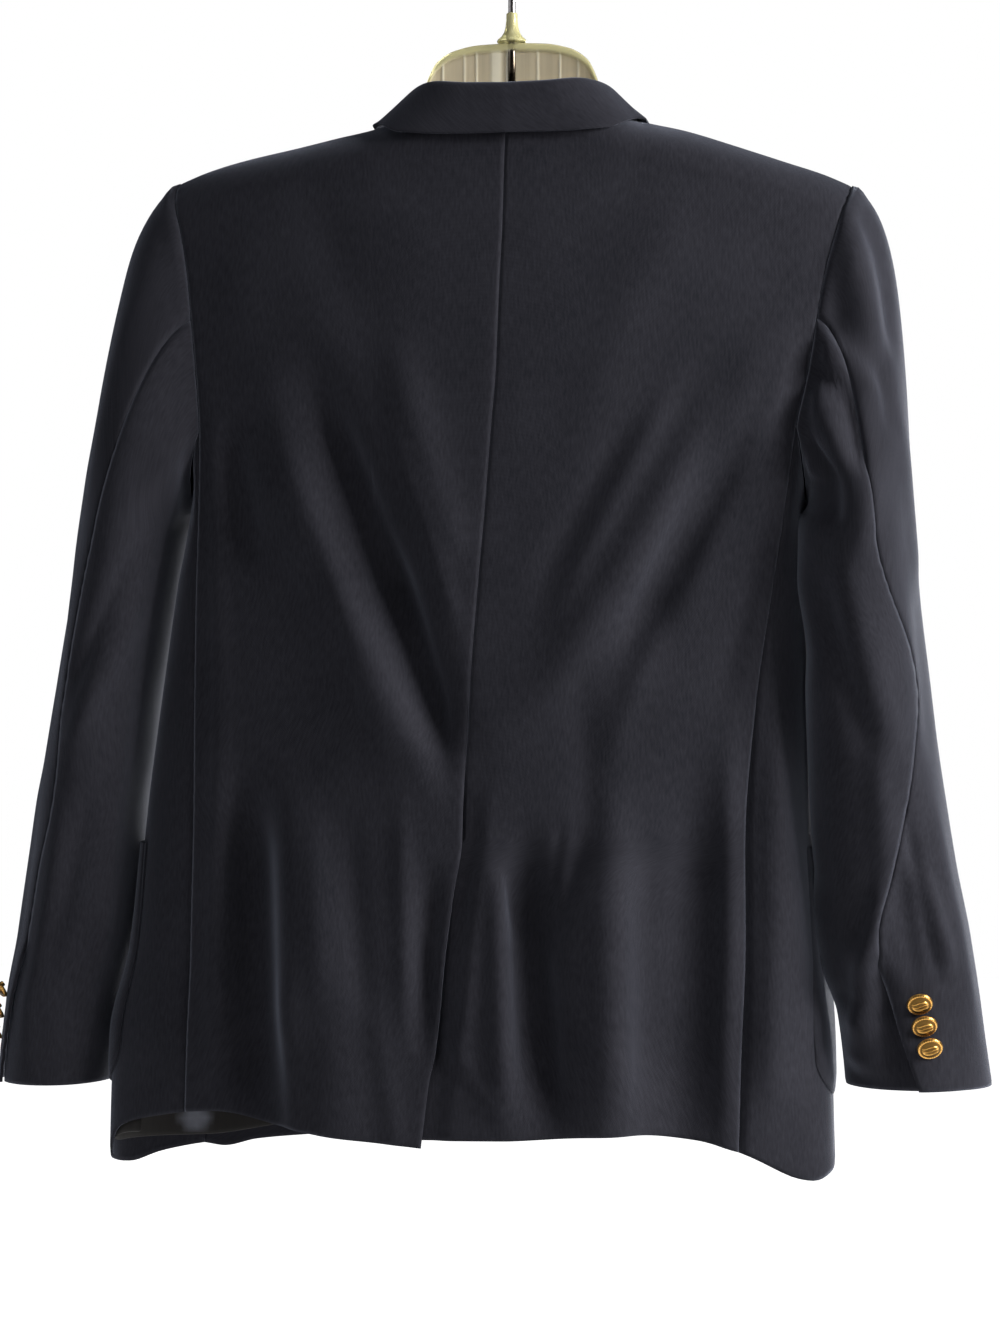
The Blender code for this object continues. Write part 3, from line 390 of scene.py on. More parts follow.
# Finer creases of the back, in the columns of the large folds
BACK_CREASES = in_metres([
    (236, 330, 205, 420, 7, -2), (118, 330, 64, 470, 12, -6), (76, 430, 34, 556, 11, -6),
    (69, 350, 26, 475, 7, 2.2), (152, 335, 96, 480, 10, 2.6), (92, 480, 46, 580, 9, 2),
    (128, 420, 84, 560, 8, -1.8), (45, 480, 14, 600, 7, 2), (200, 345, 192, 520, 9, 2.6),
    (193, 540, 196, 760, 10, 3.4), (180, 600, 174, 800, 15, -6), (140, 600, 140, 760, 14, 6),
    (124, 605, 119, 720, 9, 2.6), (142, 720, 136, 835, 8, 2.4), (100, 620, 90, 730, 9, -2.8),
    (64, 610, 61, 730, 7, 2.8), (47, 690, 44, 760, 7, -3.6), (80, 740, 66, 830, 9, 2),
    (32, 750, 2, 800, 7, 1.8), (9, 622, 22, 760, 6, 2.2), (-13, 640, -21, 775, 9, -5),
    (-1, 626, -22, 690, 5, -2.2), (-56, 622, -38, 690, 6, -2.6), (-42, 616, -34, 680, 4, -2),
    (-76, 600, -80, 790, 14, 5), (-100, 610, -100, 800, 15, -5.6),
    (-168, 560, -172, 790, 24, 11), (-178, 540, -200, 740, 10, 3.6),
    (-196, 300, -132, 440, 10, 3), (-151, 333, -88, 490, 11, -4), (-114, 324, -44, 462, 9, 3),
    (-84, 350, -30, 450, 9, -2.2), (-105, 480, -78, 560, 10, 2.2),
    (-190, 400, -150, 520, 11, -2.8), (-58, 520, -62, 640, 11, -2),
    (-120, 200, -60, 330, 16, 1.4), (130, 190, 80, 300, 16, -1.4), (80, 146, -80, 149, 5, -1.2),
])
FRONT_CREASES = in_metres([
    (176, 300, 140, 430, 12, -3), (150, 250, 120, 380, 13, 2.4), (110, 420, 40, 500, 12, -3),
    (130, 480, 60, 520, 12, 2.2), (100, 560, 90, 800, 14, -3.6), (62, 580, 60, 780, 12, 2.6),
    (30, 620, 45, 740, 10, -2),
])
# Creases of the sleeves: turn and drop of both ends, half width, depth outward
SLEEVE_CREASES = {
    1: np.array([
        (0.30, 0.330, 0.40, 0.380, 0.007, -0.0032),
        (0.28, 0.355, 0.40, 0.405, 0.008, 0.0030),
        (0.10, 0.240, 0.14, 0.380, 0.010, 0.0022),
        (0.02, 0.230, 0.05, 0.350, 0.010, -0.0018),
        (0.33, 0.430, 0.20, 0.520, 0.010, -0.0036),
        (0.36, 0.470, 0.22, 0.560, 0.011, 0.0032),
        (0.05, 0.430, 0.12, 0.540, 0.012, -0.0020),
        (0.30, 0.600, 0.24, 0.700, 0.010, -0.0030),
        (0.22, 0.610, 0.20, 0.770, 0.009, 0.0026),
        (0.10, 0.600, 0.08, 0.760, 0.012, -0.0024),
        (0.38, 0.560, 0.36, 0.740, 0.012, 0.0030),
        (0.62, 0.330, 0.56, 0.400, 0.009, -0.0030),
        (0.66, 0.470, 0.80, 0.540, 0.013, -0.0036),
        (0.70, 0.520, 0.84, 0.570, 0.013, 0.0030),
    ]),
    -1: np.array([
        (0.42, 0.330, 0.42, 0.470, 0.0270, 0.0110),
        (0.37, 0.470, 0.38, 0.740, 0.0330, 0.0090),
        (0.46, 0.655, 0.47, 0.725, 0.0220, 0.0040),
        (0.178, 0.308, 0.216, 0.366, 0.0050, 0.0068),
        (0.150, 0.322, 0.190, 0.372, 0.0050, -0.0050),
        (0.212, 0.306, 0.250, 0.366, 0.0055, -0.0062),
        (0.132, 0.282, 0.152, 0.310, 0.0050, 0.0056),
        (0.160, 0.290, 0.176, 0.318, 0.0045, -0.0044),
        (0.243, 0.345, 0.290, 0.376, 0.0055, 0.0062),
        (0.250, 0.372, 0.330, 0.410, 0.0080, -0.0044),
        (0.180, 0.378, 0.260, 0.430, 0.0100, 0.0030),
        (0.020, 0.190, 0.070, 0.285, 0.0080, 0.0072),
        (-0.025, 0.200, 0.020, 0.290, 0.0080, -0.0044),
        (0.075, 0.200, 0.105, 0.290, 0.0080, -0.0044),
        (0.122, 0.288, 0.098, 0.328, 0.0060, 0.0036),
        (0.070, 0.300, 0.080, 0.345, 0.0070, -0.0028),
        (0.040, 0.340, 0.050, 0.450, 0.0110, 0.0026),
        (0.30, 0.430, 0.20, 0.560, 0.0120, 0.0034),
        (0.36, 0.450, 0.26, 0.560, 0.0100, -0.0040),
        (0.05, 0.450, 0.08, 0.560, 0.0120, -0.0022),
        (0.24, 0.560, 0.25, 0.650, 0.0090, 0.0036),
        (0.262, 0.650, 0.316, 0.706, 0.0060, 0.0050),
        (0.316, 0.690, 0.352, 0.752, 0.0090, 0.0056),
        (0.352, 0.735, 0.375, 0.775, 0.0170, 0.0062),
        (0.285, 0.705, 0.292, 0.775, 0.0080, -0.0062),
        (0.185, 0.610, 0.172, 0.705, 0.0050, -0.0034),
        (0.176, 0.640, 0.142, 0.705, 0.0080, 0.0046),
        (0.225, 0.640, 0.225, 0.720, 0.0080, -0.0030),
        (0.105, 0.600, 0.090, 0.740, 0.0110, 0.0026),
        (0.62, 0.330, 0.56, 0.400, 0.009, -0.0030),
        (0.66, 0.470, 0.80, 0.540, 0.013, -0.0036),
        (0.70, 0.520, 0.84, 0.570, 0.013, 0.0030),
    ]),
}
# Slow unevenness of hung cloth: wave numbers across and down, phase, share
WAVES = np.array([
    (31.0, 9.0, 0.4, 1.00),
    (-47.0, 14.0, 2.1, 0.70),
    (69.0, -6.0, 4.0, 0.45),
    (-97.0, 21.0, 1.3, 0.30),
    (142.0, 33.0, 5.2, 0.18),
    (23.0, 52.0, 3.3, 0.40),
])


def refined(values, steps):
    """The values with steps - 1 more between each two."""
    values = np.asarray(values, float)
    places = np.linspace(0, len(values) - 1, (len(values) - 1) * steps + 1)
    return np.interp(places, np.arange(len(values)), values)


def unevenness(across, down):
    """Sum of slow waves, between about -1 and 1."""
    total = 0
    for wave_across, wave_down, phase, share in WAVES:
        total = total + share * np.sin(wave_across * across + wave_down * down + phase)
    return total / WAVES[:, 3].sum()


def smooth(x, table, column=1):
    """Cubic curve through the rows of a table, never past them, and level beyond its ends."""
    knots = table[:, 0]
    values = table[:, column]
    x = np.clip(np.asarray(x, float), knots[0], knots[-1])
    rise = np.diff(values) / np.diff(knots)
    same = rise[1:] * rise[:-1] > 0
    middle = np.where(same, 2 * rise[1:] * rise[:-1] / np.where(same, rise[1:] + rise[:-1], 1), 0)
    slopes = np.concatenate([rise[:1], middle, rise[-1:]])
    i = np.clip(np.searchsorted(knots, x) - 1, 0, len(knots) - 2)
    step = knots[i + 1] - knots[i]
    t = (x - knots[i]) / step
    a = (1 + 2 * t) * (1 - t) ** 2 * values[i] + t * (1 - t) ** 2 * step * slopes[i]
    b = t * t * (3 - 2 * t) * values[i + 1] + t * t * (t - 1) * step * slopes[i + 1]
    return a + b


def ramp(x, start, end):
    t = np.clip((np.asarray(x, float) - start) / (end - start), 0, 1)
    return t * t * (3 - 2 * t)


def body(name, drop):
    return smooth(drop, BODY, BODY_COLUMNS.index(name))


def half_width(name, drop, side):
    return body(name if side > 0 else name + "_right", drop)


def ridge(x):
    lean = SHOULDER_LEAN * x * ramp(np.abs(x), 0.1, 0.2)
    return smooth(np.abs(x), SHOULDER_RIDGE) - lean


def rounding(x, drop):
    q = np.clip((drop - ridge(x)) / SHOULDER_ROUNDING, 0, 1)
    return np.sqrt(np.clip(1 - (1 - q) ** 2, 0, 1))


def neck_drop(x):
    across = np.clip(np.abs(x) / NECK_HALF, 0, 1)
    return NECK_DROP + (smooth(NECK_HALF, SHOULDER_RIDGE) - NECK_DROP) * across ** 2


def folds_at(x, drop, folds):
    """Sum of soft ridges and troughs at points given by x and drop."""
    total = np.zeros(np.broadcast(x, drop).shape)
    for values in folds:
        fold = dict(zip(FOLD_COLUMNS, values))
        run = np.array([fold["x1"] - fold["x0"], fold["drop1"] - fold["drop0"]])
        length = np.hypot(*run)
        from_x, from_drop = x - fold["x0"], drop - fold["drop0"]
        along = (from_x * run[0] + from_drop * run[1]) / length ** 2
        across = (from_x * run[1] - from_drop * run[0]) / length
        fade = ramp(along, -FOLD_FADE, FOLD_FADE) * (1 - ramp(along, 1 - FOLD_FADE, 1 + FOLD_FADE))
        total = total + fold["depth"] * fade * np.exp(-((across / fold["half_width"]) ** 2))
    return total


def back_point(x, drop):
    """Point of the back cloth at x from the middle, with its folds."""
    half = body("back_half", drop)
    edge = body("back_edge", drop)
    bow = 1 - np.clip(np.abs(x) / half, 0, 1) ** GIRTH_POWER
    y = edge + (body("back_mid", drop) - edge) * bow
    actual = x + body("swing", drop)
    quiet = ramp(half - np.abs(x), 0.0, 0.02)
    y = y * rounding(x, drop) + folds_at(actual, drop, BACK_FOLDS) * quiet
    return np.stack([actual + 0 * y, y, -drop + 0 * y], axis=-1)


def tucked_back_point(x, drop):
    """Right back point, sunk where it runs under the vent flap."""
    point = back_point(x, drop)
    edge = smooth(drop, FLAP_EDGE)
    tuck = ramp(x, edge - 0.020, edge - 0.006) * ramp(drop, 0.570, 0.600)
    point[..., 1] -= UNDERLAP_TUCK * tuck
    return point


def front_point(x, drop, side):
    """Point of a front at x out from the middle on its own side."""
    half = half_width("front_half", drop, side)
    edge = body("front_edge", drop)
    bow = 1 - np.clip(np.abs(x) / half, 0, 1) ** GIRTH_POWER
    y = -(edge + (body("front_mid", drop) - edge) * bow) * rounding(side * x, drop)
    if side < 0:
        y = y + WRAP_TUCK * (1 - ramp(x, 0.022, 0.062)) * ramp(drop, 0.34, 0.41)
    return np.stack([side * x + body("swing", drop) + 0 * y, y, -drop + 0 * y], axis=-1)


def side_point(t, drop, side):
    """Point of a side panel, t running from its back seam to its front seam."""
    back_half, back_edge = body("back_half", drop), body("back_edge", drop)
    wide_front, front_edge = half_width("front_half", drop, side), body("front_edge", drop)
    wide = half_width("side_half", drop, side)
    back_slope = GIRTH_POWER * (body("back_mid", drop) - back_edge) / back_half
    front_slope = GIRTH_POWER * (body("front_mid", drop) - front_edge) / wide_front
    run_back = 0.6 * (wide - back_half) + 0.004
    run_front = np.maximum(0.6 * (wide - wide_front) + 0.004, 0.003)
    first = t < 0.5
    a = np.where(first, 2 * t, 2 - 2 * t)
    near_x = np.where(first, back_half, wide_front)
    near_y = np.where(first, back_edge, front_edge)
    run = np.where(first, run_back, run_front)
    slope = np.where(first, back_slope, front_slope)
    x = (
        near_x * (1 - a) ** 3
        + 3 * (near_x + run) * a * (1 - a) ** 2
        + 3 * wide * a ** 2 * (1 - a)
        + wide * a ** 3
    )
    y = (
        near_y * (1 - a) ** 3
        + 3 * (near_y - run * slope) * a * (1 - a) ** 2
        + 3 * 0.5 * near_y * a ** 2 * (1 - a)
    )
    y = np.where(first, y, -y)
    return np.stack([side * x + body("swing", drop), y, -drop + 0 * y], axis=-1)


def skirt_rows(start, hem):
    """Row drops below the armpit for columns that start and end at the given drops."""
    base = refined(SKIRT_DROPS, BODY_FINE)[None, :]
    top = 1 - np.clip((base - base[0, 0]) / (ARMPIT_EASE - base[0, 0]), 0, 1)
    low = np.clip((base - HEM_EASE) / (base[0, -1] - HEM_EASE), 0, 1)
    return base + top * (start[:, None] - base[0, 0]) + low * (hem[:, None] - base[0, -1])


def yoke_shares():
    """Fractions of the way from the shoulder line to the armpit, close together at the top."""
    return np.linspace(0, 1, (len(YOKE_ROWS) - 1) * BODY_FINE + 1) ** 2


def yoke_rows(start, end):
    return start[:, None] + (end - start)[:, None] * yoke_shares()[None, :]


def shoulder_fractions():
    neck = np.linspace(0, NECK_HALF, NECK_STEPS + 1)
    shoulder = np.linspace(NECK_HALF, TIP_HALF, SHOULDER_STEPS + 1)[1:]
    return refined(np.concatenate([neck, shoulder]) / TIP_HALF, BODY_FINE)


def back_panel(side):
    share = shoulder_fractions()
    top_x = share * TIP_HALF
    start = np.maximum(ridge(side * top_x), np.where(top_x < NECK_HALF, neck_drop(top_x), 0))
    armpit = np.full(len(share), SKIRT_DROPS[0])
    hem = smooth(share, BACK_HEM[side])
    drop = np.concatenate([yoke_rows(start, armpit), skirt_rows(armpit, hem)[:, 1:]], axis=1)
    outer = body("back_half", drop)
    inner = np.full(drop.shape, CENTRE_SHIFT)
    neck = np.clip(1 - share / (NECK_HALF / TIP_HALF), 0, 1)[:, None]
    near = neck + (1 - share[:, None] - neck) * ramp(drop, 0.345, 0.600)
    if side > 0:
        inner = np.where(drop > VENT_TOP, smooth(drop, FLAP_EDGE), inner)
        return back_point(share[:, None] * outer + inner * near, drop)
    inner = CENTRE_SHIFT + (UNDERLAP - CENTRE_SHIFT) * ramp(drop, 0.619, 0.643)
    return tucked_back_point(-share[:, None] * outer + inner * near, drop)


def side_panel(side):
    t = np.linspace(0, 1, SIDE_STEPS * SIDE_FINE + 1)
    drop = skirt_rows(smooth(t, SCYE_DROP), smooth(t, SIDE_HEM[side]))
    return side_point(t[:, None] + 0 * drop, drop, side)


def front_panel(side):
    share = np.linspace(0, 1, SHOULDER_STEPS * BODY_FINE + 1)
    top_x = NECK_HALF + (TIP_HALF - NECK_HALF) * share
    start = ridge(side * top_x)
    armpit = SKIRT_DROPS[0] + (SCYE_DROP[-1, 1] - SKIRT_DROPS[0]) * share ** 2
    hem = smooth(share, FRONT_HEM[side])
    drop = np.concatenate([yoke_rows(start, armpit), skirt_rows(armpit, hem)[:, 1:]], axis=1)
    inner = smooth(drop[0], FRONT_EDGE)[None, :]
    x = inner + (half_width("front_half", drop, side) - inner) * share[:, None]
    return front_point(x, drop, side)


def armhole_points(side):
    """Closed run of armhole points: tip, down the back, under the arm, up the front."""
    steps = SLEEVE_FINE * (len(YOKE_ROWS) - 1)
    tip = float(ridge(side * TIP_HALF))
    shares = np.linspace(0, 1, steps + 1) ** 2
    drop = tip + (SKIRT_DROPS[0] - tip) * shares
    down = back_point(side * body("back_half", drop), drop)
    t = np.linspace(0, 1, SIDE_STEPS * SLEEVE_FINE + 1)[1:]
    under = side_point(t, smooth(t, SCYE_DROP), side)
    drop = (tip + (SCYE_DROP[-1, 1] - tip) * shares)[1:-1][::-1]
    up = front_point(half_width("front_half", drop, side), drop, side)
    return np.concatenate([down, under, up])


def sleeve_ring(side, turn, drop):
    """Points of the sleeve tube at a drop, turn 0 outward and 0.25 at the back."""
    value = {name: smooth(drop, SLEEVES[side], i) for i, name in enumerate(SLEEVE_COLUMNS)}
    x = value["centre_x"] + value["half_x"] * np.cos(2 * np.pi * turn)
    y = value["centre_y"] + value["half_y"] * np.sin(2 * np.pi * turn)
    return np.stack([side * x, y + 0 * x, -drop + 0 * x], axis=-1)


def sleeve_turns(side, drop, count):
    """Turn of each column at a drop, even within the upper and the under piece."""
    hind = float(smooth(drop, SLEEVES[side], SLEEVE_COLUMNS.index("hind")))
    fore = float(smooth(drop, SLEEVES[side], SLEEVE_COLUMNS.index("fore")))
    first, last = HIND_COLUMN * SLEEVE_FINE, FORE_COLUMN * SLEEVE_FINE
    columns = np.arange(count + first + 1)
    under = hind + (fore - hind) * (columns - first) / (last - first)
    over = fore + (1 + hind - fore) * (columns - last) / (count + first - last)
    turns = np.where(columns <= last, under, over)
    turns[:first] = turns[count:count + first] - 1
    return turns[:count]


def sleeve_tube(side):
    """Grid of a whole sleeve with the turn and drop of each point, its first row the armhole."""
    hole = armhole_points(side)
    count = len(hole)
    turns = sleeve_turns(side, TUBE_START, count)
    target = sleeve_ring(side, turns, np.full(count, TUBE_START))
    below = sleeve_ring(side, turns, np.full(count, TUBE_START + 0.02))
    reach = np.linalg.norm(target - hole, axis=1)[:, None]
    leave = np.stack([
        side * (0.80 + 0.20 * np.cos(2 * np.pi * turns)),
        0.60 * np.sin(2 * np.pi * turns),
        -0.45 - 0 * turns,
    ], axis=-1)
    leave /= np.linalg.norm(leave, axis=1)[:, None]
    arrive = (target - below) / np.linalg.norm(target - below, axis=1)[:, None]
    first = hole + 0.20 * reach * leave
    second = target + 0.34 * reach * arrive
    rows, row_turns = [], []
    for t in np.linspace(0, 1, CAP_ROWS * SLEEVE_FINE + 1):
        rows.append(
            hole * (1 - t) ** 3 + 3 * first * t * (1 - t) ** 2
            + 3 * second * t * t * (1 - t) + target * t ** 3
        )
        row_turns.append(turns)
    for drop in np.linspace(TUBE_START, CUFF_DROP[side], TUBE_ROWS * SLEEVE_FINE * 2 + 1)[1:]:
        here = sleeve_turns(side, drop, count)
        rows.append(sleeve_ring(side, here, np.full(count, drop)))
        row_turns.append(here)
    return np.stack(rows, axis=1), np.stack(row_turns, axis=1)


def grid_normals(grid, closed=False):
    """Unit normals of a grid of points, from the steps between its neighbours."""
    if closed:
        along = np.roll(grid, -1, axis=0) - np.roll(grid, 1, axis=0)
    else:
        along = np.gradient(grid, axis=0)
    cross = np.cross(along, np.gradient(grid, axis=1))
    return cross / np.maximum(np.linalg.norm(cross, axis=-1), 1e-12)[..., None]


def facing(grid, normals, centre):
    """The normals, flipped if they point towards the centre line on the whole."""
    return normals if (normals * (grid - centre)).sum() > 0 else -normals


def body_middle(grid):
    middle = grid.copy()
    middle[..., 0] *= 0.6
    middle[..., 1] = 0
    middle[..., 2] -= 0.02
    return middle


def lifted(surface, distance):
    """Points of a surface moved out along its normal."""
    step = 0.0005
    zero = surface(0.0, 0.0)
    across = surface(step, 0.0) - surface(-step, 0.0)
    down = surface(0.0, step) - surface(0.0, -step)
    normal = np.cross(across, down)
    normal /= np.maximum(np.linalg.norm(normal, axis=-1), 1e-12)[..., None]
    flip = np.sign((normal * (zero - body_middle(zero))).sum(axis=-1))[..., None]
    return zero + normal * flip * distance


def border_distance(grid):
    """Distance of each grid point from each of its four borders, along the cloth."""
    across = np.linalg.norm(np.diff(grid, axis=0), axis=-1)
    down = np.linalg.norm(np.diff(grid, axis=1), axis=-1)
    from_start = np.concatenate([np.zeros((1, grid.shape[1])), np.cumsum(across, axis=0)])
    from_top = np.concatenate([np.zeros((grid.shape[0], 1)), np.cumsum(down, axis=1)], axis=1)
    return {
        "start": from_start,
        "end": from_start[-1:] - from_start,
        "top": from_top,
        "foot": from_top[:, -1:] - from_top,
    }


def sewn(grid, normals, seams, folded=(), pucker=0.00022, shown=1.0):
    """The grid with its seams drawn in, small puckers beside them and rounded folded edges."""
    away = border_distance(grid)
    sink = 0
    for name in seams:
        distance = away[name]
        run = away["top"] if name in ("start", "end") else away["start"]
        clear = shown if name == "start" else 1.0
        sink = sink + SEAM_DEPTH * clear * np.exp(-((distance / SEAM_WIDTH) ** 2))
        ripple = np.sin(run * 520 + 2.4 * np.sin(run * 61)) * np.sin(run * 37 + 1)
        sink = sink + pucker * ripple * np.exp(-distance / PUCKER_REACH)
    for name in folded:
        sink = sink + EDGE_ROUNDING * np.exp(-((away[name] / EDGE_REACH) ** 2))
    return grid - normals * np.asarray(sink)[..., None]


def sheet_object(name, grid, normals, finish, wall, around=None):
    """A cloth piece: a grid laid on the points, given its wall, with the cloth's own UV map."""
    across, down = grid.shape[:2]
    shell = bmesh.new()
    bmesh.ops.create_grid(
        shell, x_segments=across - 1, y_segments=down - 1, size=1.0, calc_uvs=True
    )
    shell.verts.ensure_lookup_table()
    places = np.array([v.co[:2] for v in shell.verts])
    i = np.round((places[:, 0] + 1) / 2 * (across - 1)).astype(int)
    j = np.round((places[:, 1] + 1) / 2 * (down - 1)).astype(int)
    for vert, point in zip(shell.verts, grid[i, j]):
        vert.co = point
    away = border_distance(grid)
    u = away["start"] if around is None else around
    v = away["top"]
    layer = shell.loops.layers.uv.verify()
    columns = dict(zip((vert.index for vert in shell.verts), zip(i, j)))
    for face in shell.faces:
        face.smooth = True
        for loop in face.loops:
            a, b = columns[loop.vert.index]
            loop[layer].uv = (u[a, b], v[a, b])
    shell.normal_update()
    facing_sum = 0.0
    for face in shell.faces:
        a, b = columns[face.verts[0].index]
        facing_sum += face.normal.dot(Vector(normals[a, b]))
    if facing_sum < 0:
        bmesh.ops.reverse_faces(shell, faces=shell.faces)
    mesh = bpy.data.meshes.new(name)
    shell.to_mesh(mesh)
    shell.free()
    mesh.materials.append(finish)
    piece = bpy.data.objects.new(name, mesh)
    bpy.context.scene.collection.objects.link(piece)
    thickness = piece.modifiers.new("wall", "SOLIDIFY")
    thickness.thickness = wall
    thickness.offset = -1.0
    thickness.use_even_offset = False
    thickness.use_rim = True
    return piece


def rounded_piece(piece, levels=1):
    soft = piece.modifiers.new("soft edges", "SUBSURF")
    soft.levels = levels
    soft.render_levels = levels
    return piece


def lapel_grid(side):
    """Lapel lying on its front, from the break line out to its edge."""
    c = refined(np.linspace(0, 1, LAPEL_STEPS + 1), FLAT_FINE)[:, None]
    r = refined(np.linspace(0, 1, LAPEL_ROWS + 1), FLAT_FINE)[None, :]
    top = GORGE_DROP + GORGE_SLOPE * c
    drop = top + (LAPEL_END - top) * r
    x = smooth(drop, FRONT_EDGE) + (smooth(drop, LAPEL_EDGE) - smooth(drop, FRONT_EDGE)) * c
    return lifted(lambda dx, dh: front_point(x + dx, drop + dh, side), LAPEL_LIFT)


def flank_column(place, drops, side, lift):
    """Points down one line of the side panel (place 0 to 1) or the front (1 to 2), lifted."""
    if place <= 1:
        return lifted(lambda dt, dh: side_point(place + dt + 0 * drops, drops + dh, side), lift)

    def on_front(dx, dh):
        inner = smooth(drops + dh, FRONT_EDGE)
        share = 2 - place
        across = inner + (half_width("front_half", drops + dh, side) - inner) * share
        return front_point(across + dx, drops + dh, side)

    return lifted(on_front, lift)


def pocket_grid(side):
    places = refined(POCKET_PLACES, FLAT_FINE)
    level = np.array([0.5 * (POCKET_TOP + POCKET_BOTTOM)])
    line = [flank_column(place, level, side, 0.0)[0] for place in places]
    run = np.concatenate([[0], np.cumsum(np.linalg.norm(np.diff(line, axis=0), axis=1))])
    near = np.minimum(run, run[-1] - run)
    dip = np.clip(POCKET_CORNER - near, 0, POCKET_CORNER)
    bottom = POCKET_BOTTOM - (POCKET_CORNER - np.sqrt(POCKET_CORNER ** 2 - dip ** 2))
    columns = []
    for place, low in zip(places, bottom):
        drops = np.linspace(POCKET_TOP, low, POCKET_ROWS)
        columns.append(flank_column(place, drops, side, POCKET_LIFT))
    return np.array(columns)


def lining_grid():
    columns = []
    for place in refined(LINING_PLACES, FLAT_FINE):
        fore = ramp(place, 1.0, LINING_PLACES[-1])
        hind = 1 - ramp(place, 0.15, 0.6)
        low = LINING_HEM - LINING_RISE * (fore + hind)
        drops = np.linspace(LINING_TOP, low, LINING_ROWS)
        columns.append(flank_column(place, drops, 1, -LINING_DEPTH))
    return np.array(columns)


def collar_grid():
    """Collar strip from the stand's foot over the roll line to the fall's edge."""
    columns = []
    for span in np.linspace(-1, 1, 2 * COLLAR_STATIONS * 5 + 1):
        v = abs(span)
        sign = 1 if span >= 0 else -1
        on_side = np.array([sign, 1, -1])
        roll = on_side * np.array([smooth(v, COLLAR_ROLL, k) for k in (1, 2, 3)])
        fall = on_side * np.array([smooth(v, COLLAR_FALL, k) for k in (1, 2, 3)])
        ahead = np.array([
            smooth(v + 0.01, COLLAR_ROLL, k) - smooth(v - 0.01, COLLAR_ROLL, k) for k in (1, 2, 3)
        ])
        tangent = on_side * ahead * sign
        if v < 0.01:
            tangent = np.array([1.0, 0.0, 0.0])
        down = (fall - roll) / np.linalg.norm(fall - roll)
        out = np.cross(tangent, down)
        out /= np.linalg.norm(out)
        turn = min(v / 0.56, 1) * np.pi / 2
        seam = np.array([sign * (NECK_HALF - CLOTH_WALL) * np.sin(turn), 0.050 * np.cos(turn), 0.0])
        seam[2] = -float(neck_drop(seam[0])) + 0.0012
        tuck = roll - out * (ROLL_RADIUS + 0.0035) + down * STAND_FRONT
        foot = seam + (tuck - seam) * ramp(v, 0.50, 0.80)
        inside = roll - out * ROLL_RADIUS + down * ROLL_RADIUS * 1.3
        outside = roll + out * ROLL_RADIUS + down * ROLL_RADIUS * 1.3
        columns.append([
            foot,
            foot + (inside - foot) * 0.5,
            inside,
            roll - out * ROLL_RADIUS * 0.6 + down * ROLL_RADIUS * 0.25,
            roll + out * ROLL_RADIUS * 0.6 + down * ROLL_RADIUS * 0.25,
            outside,
            outside + (fall - outside) * 0.2,
            outside + (fall - outside) * 0.4,
            outside + (fall - outside) * 0.6,
            outside + (fall - outside) * 0.8,
            outside + (fall - outside) * 0.93,
            fall,
        ])
    grid = np.array(columns)
    edge = grid[:, -1:].copy()
    clear_of_body(edge, LAYER + FALL_STAND)
    start = grid[:, 5:6, 2]
    share = np.clip((grid[:, 5:, 2] - start) / (grid[:, -1:, 2] - start - 1e-6), 0, 1)
    grid[:, 5:, 1] += (edge[..., 1] - grid[:, -1:, 1]) * share
    clear_of_body(grid[:, 5:], LAYER)
    grid[..., 0] += body("swing", -grid[..., 2])
    return grid


def clear_of_body(points, layer):
    """Moves points that lie too near the shoulders or fronts out, by the given layer."""
    drop = -points[..., 2] + 0.0030
    x = points[..., 0]
    behind = back_point(x, drop)[..., 1]
    left, right = (front_point(np.abs(x), drop, side)[..., 1] for side, _ in SIDES)
    ahead = np.where(x > 0, left, right)
    edge = np.where(np.abs(x) < NECK_HALF, neck_drop(x), ridge(x))
    over = ramp(drop, edge - 0.012, edge)
    y = points[..., 1]
    clear = np.where(y > 0, np.maximum(y, behind + layer), np.minimum(y, ahead - layer))
    points[..., 1] = y + (clear - y) * over


def hanger_section(x):
    """Points round the moulded hanger at x: rounded top bead, thin web and its foot."""
    under = float(ridge(x - float(body("swing", 0.15)))) + HANGER_UNDER
    join = float(ramp(abs(x), *HANGER_JOIN))
    drop = float(smooth(abs(x), HANGER_ARCH)) * (1 - join) + under * join
    wide, web, deep = (float(smooth(abs(x), HANGER_SIZES, k)) for k in (1, 2, 3))
    web = web + RIB_HEIGHT * float(rib_at(x))
    rim = HANGER_RIM + RIM_EXTRA * float(1 - ramp(abs(x), 0.056, 0.070))
    right = [
        (0.20 * wide, 0.0),
        (0.62 * wide, -0.10 * wide),
        (0.92 * wide, -0.24 * wide),
        (wide, -0.45 * wide),
        (wide, -0.4 * wide - 0.6 * rim),
        (0.90 * wide, -0.35 * wide - 0.9 * rim),
        (0.5 * wide + 0.5 * web, -0.3 * wide - rim),
        (web, -0.3 * wide - rim - 0.0010),
        (web, -0.5 * (deep + rim)),
        (web, -deep + HANGER_FOOT),
        (1.8 * web, -deep),
    ]
    section = right + [(-y, z) for y, z in reversed(right)]
    return [(x, y, -drop + z) for y, z in section]


def rib_at(x):
    """How much of a moulded rib stands at x, from 0 to 1."""
    total = 0.0
    for place, half_width, share in RIBS:
        total = total + share * np.exp(-(((x - place) / half_width) ** 4))
    return np.clip(total, 0, 1)


def paint(piece, name, value_at):
    """Stores a number from 0 to 1 on each point of a piece, for its finish to read."""
    layer = piece.data.attributes.new(name, "FLOAT", "POINT")
    for index, vert in enumerate(piece.data.vertices):
        layer.data[index].value = float(value_at(*vert.co))


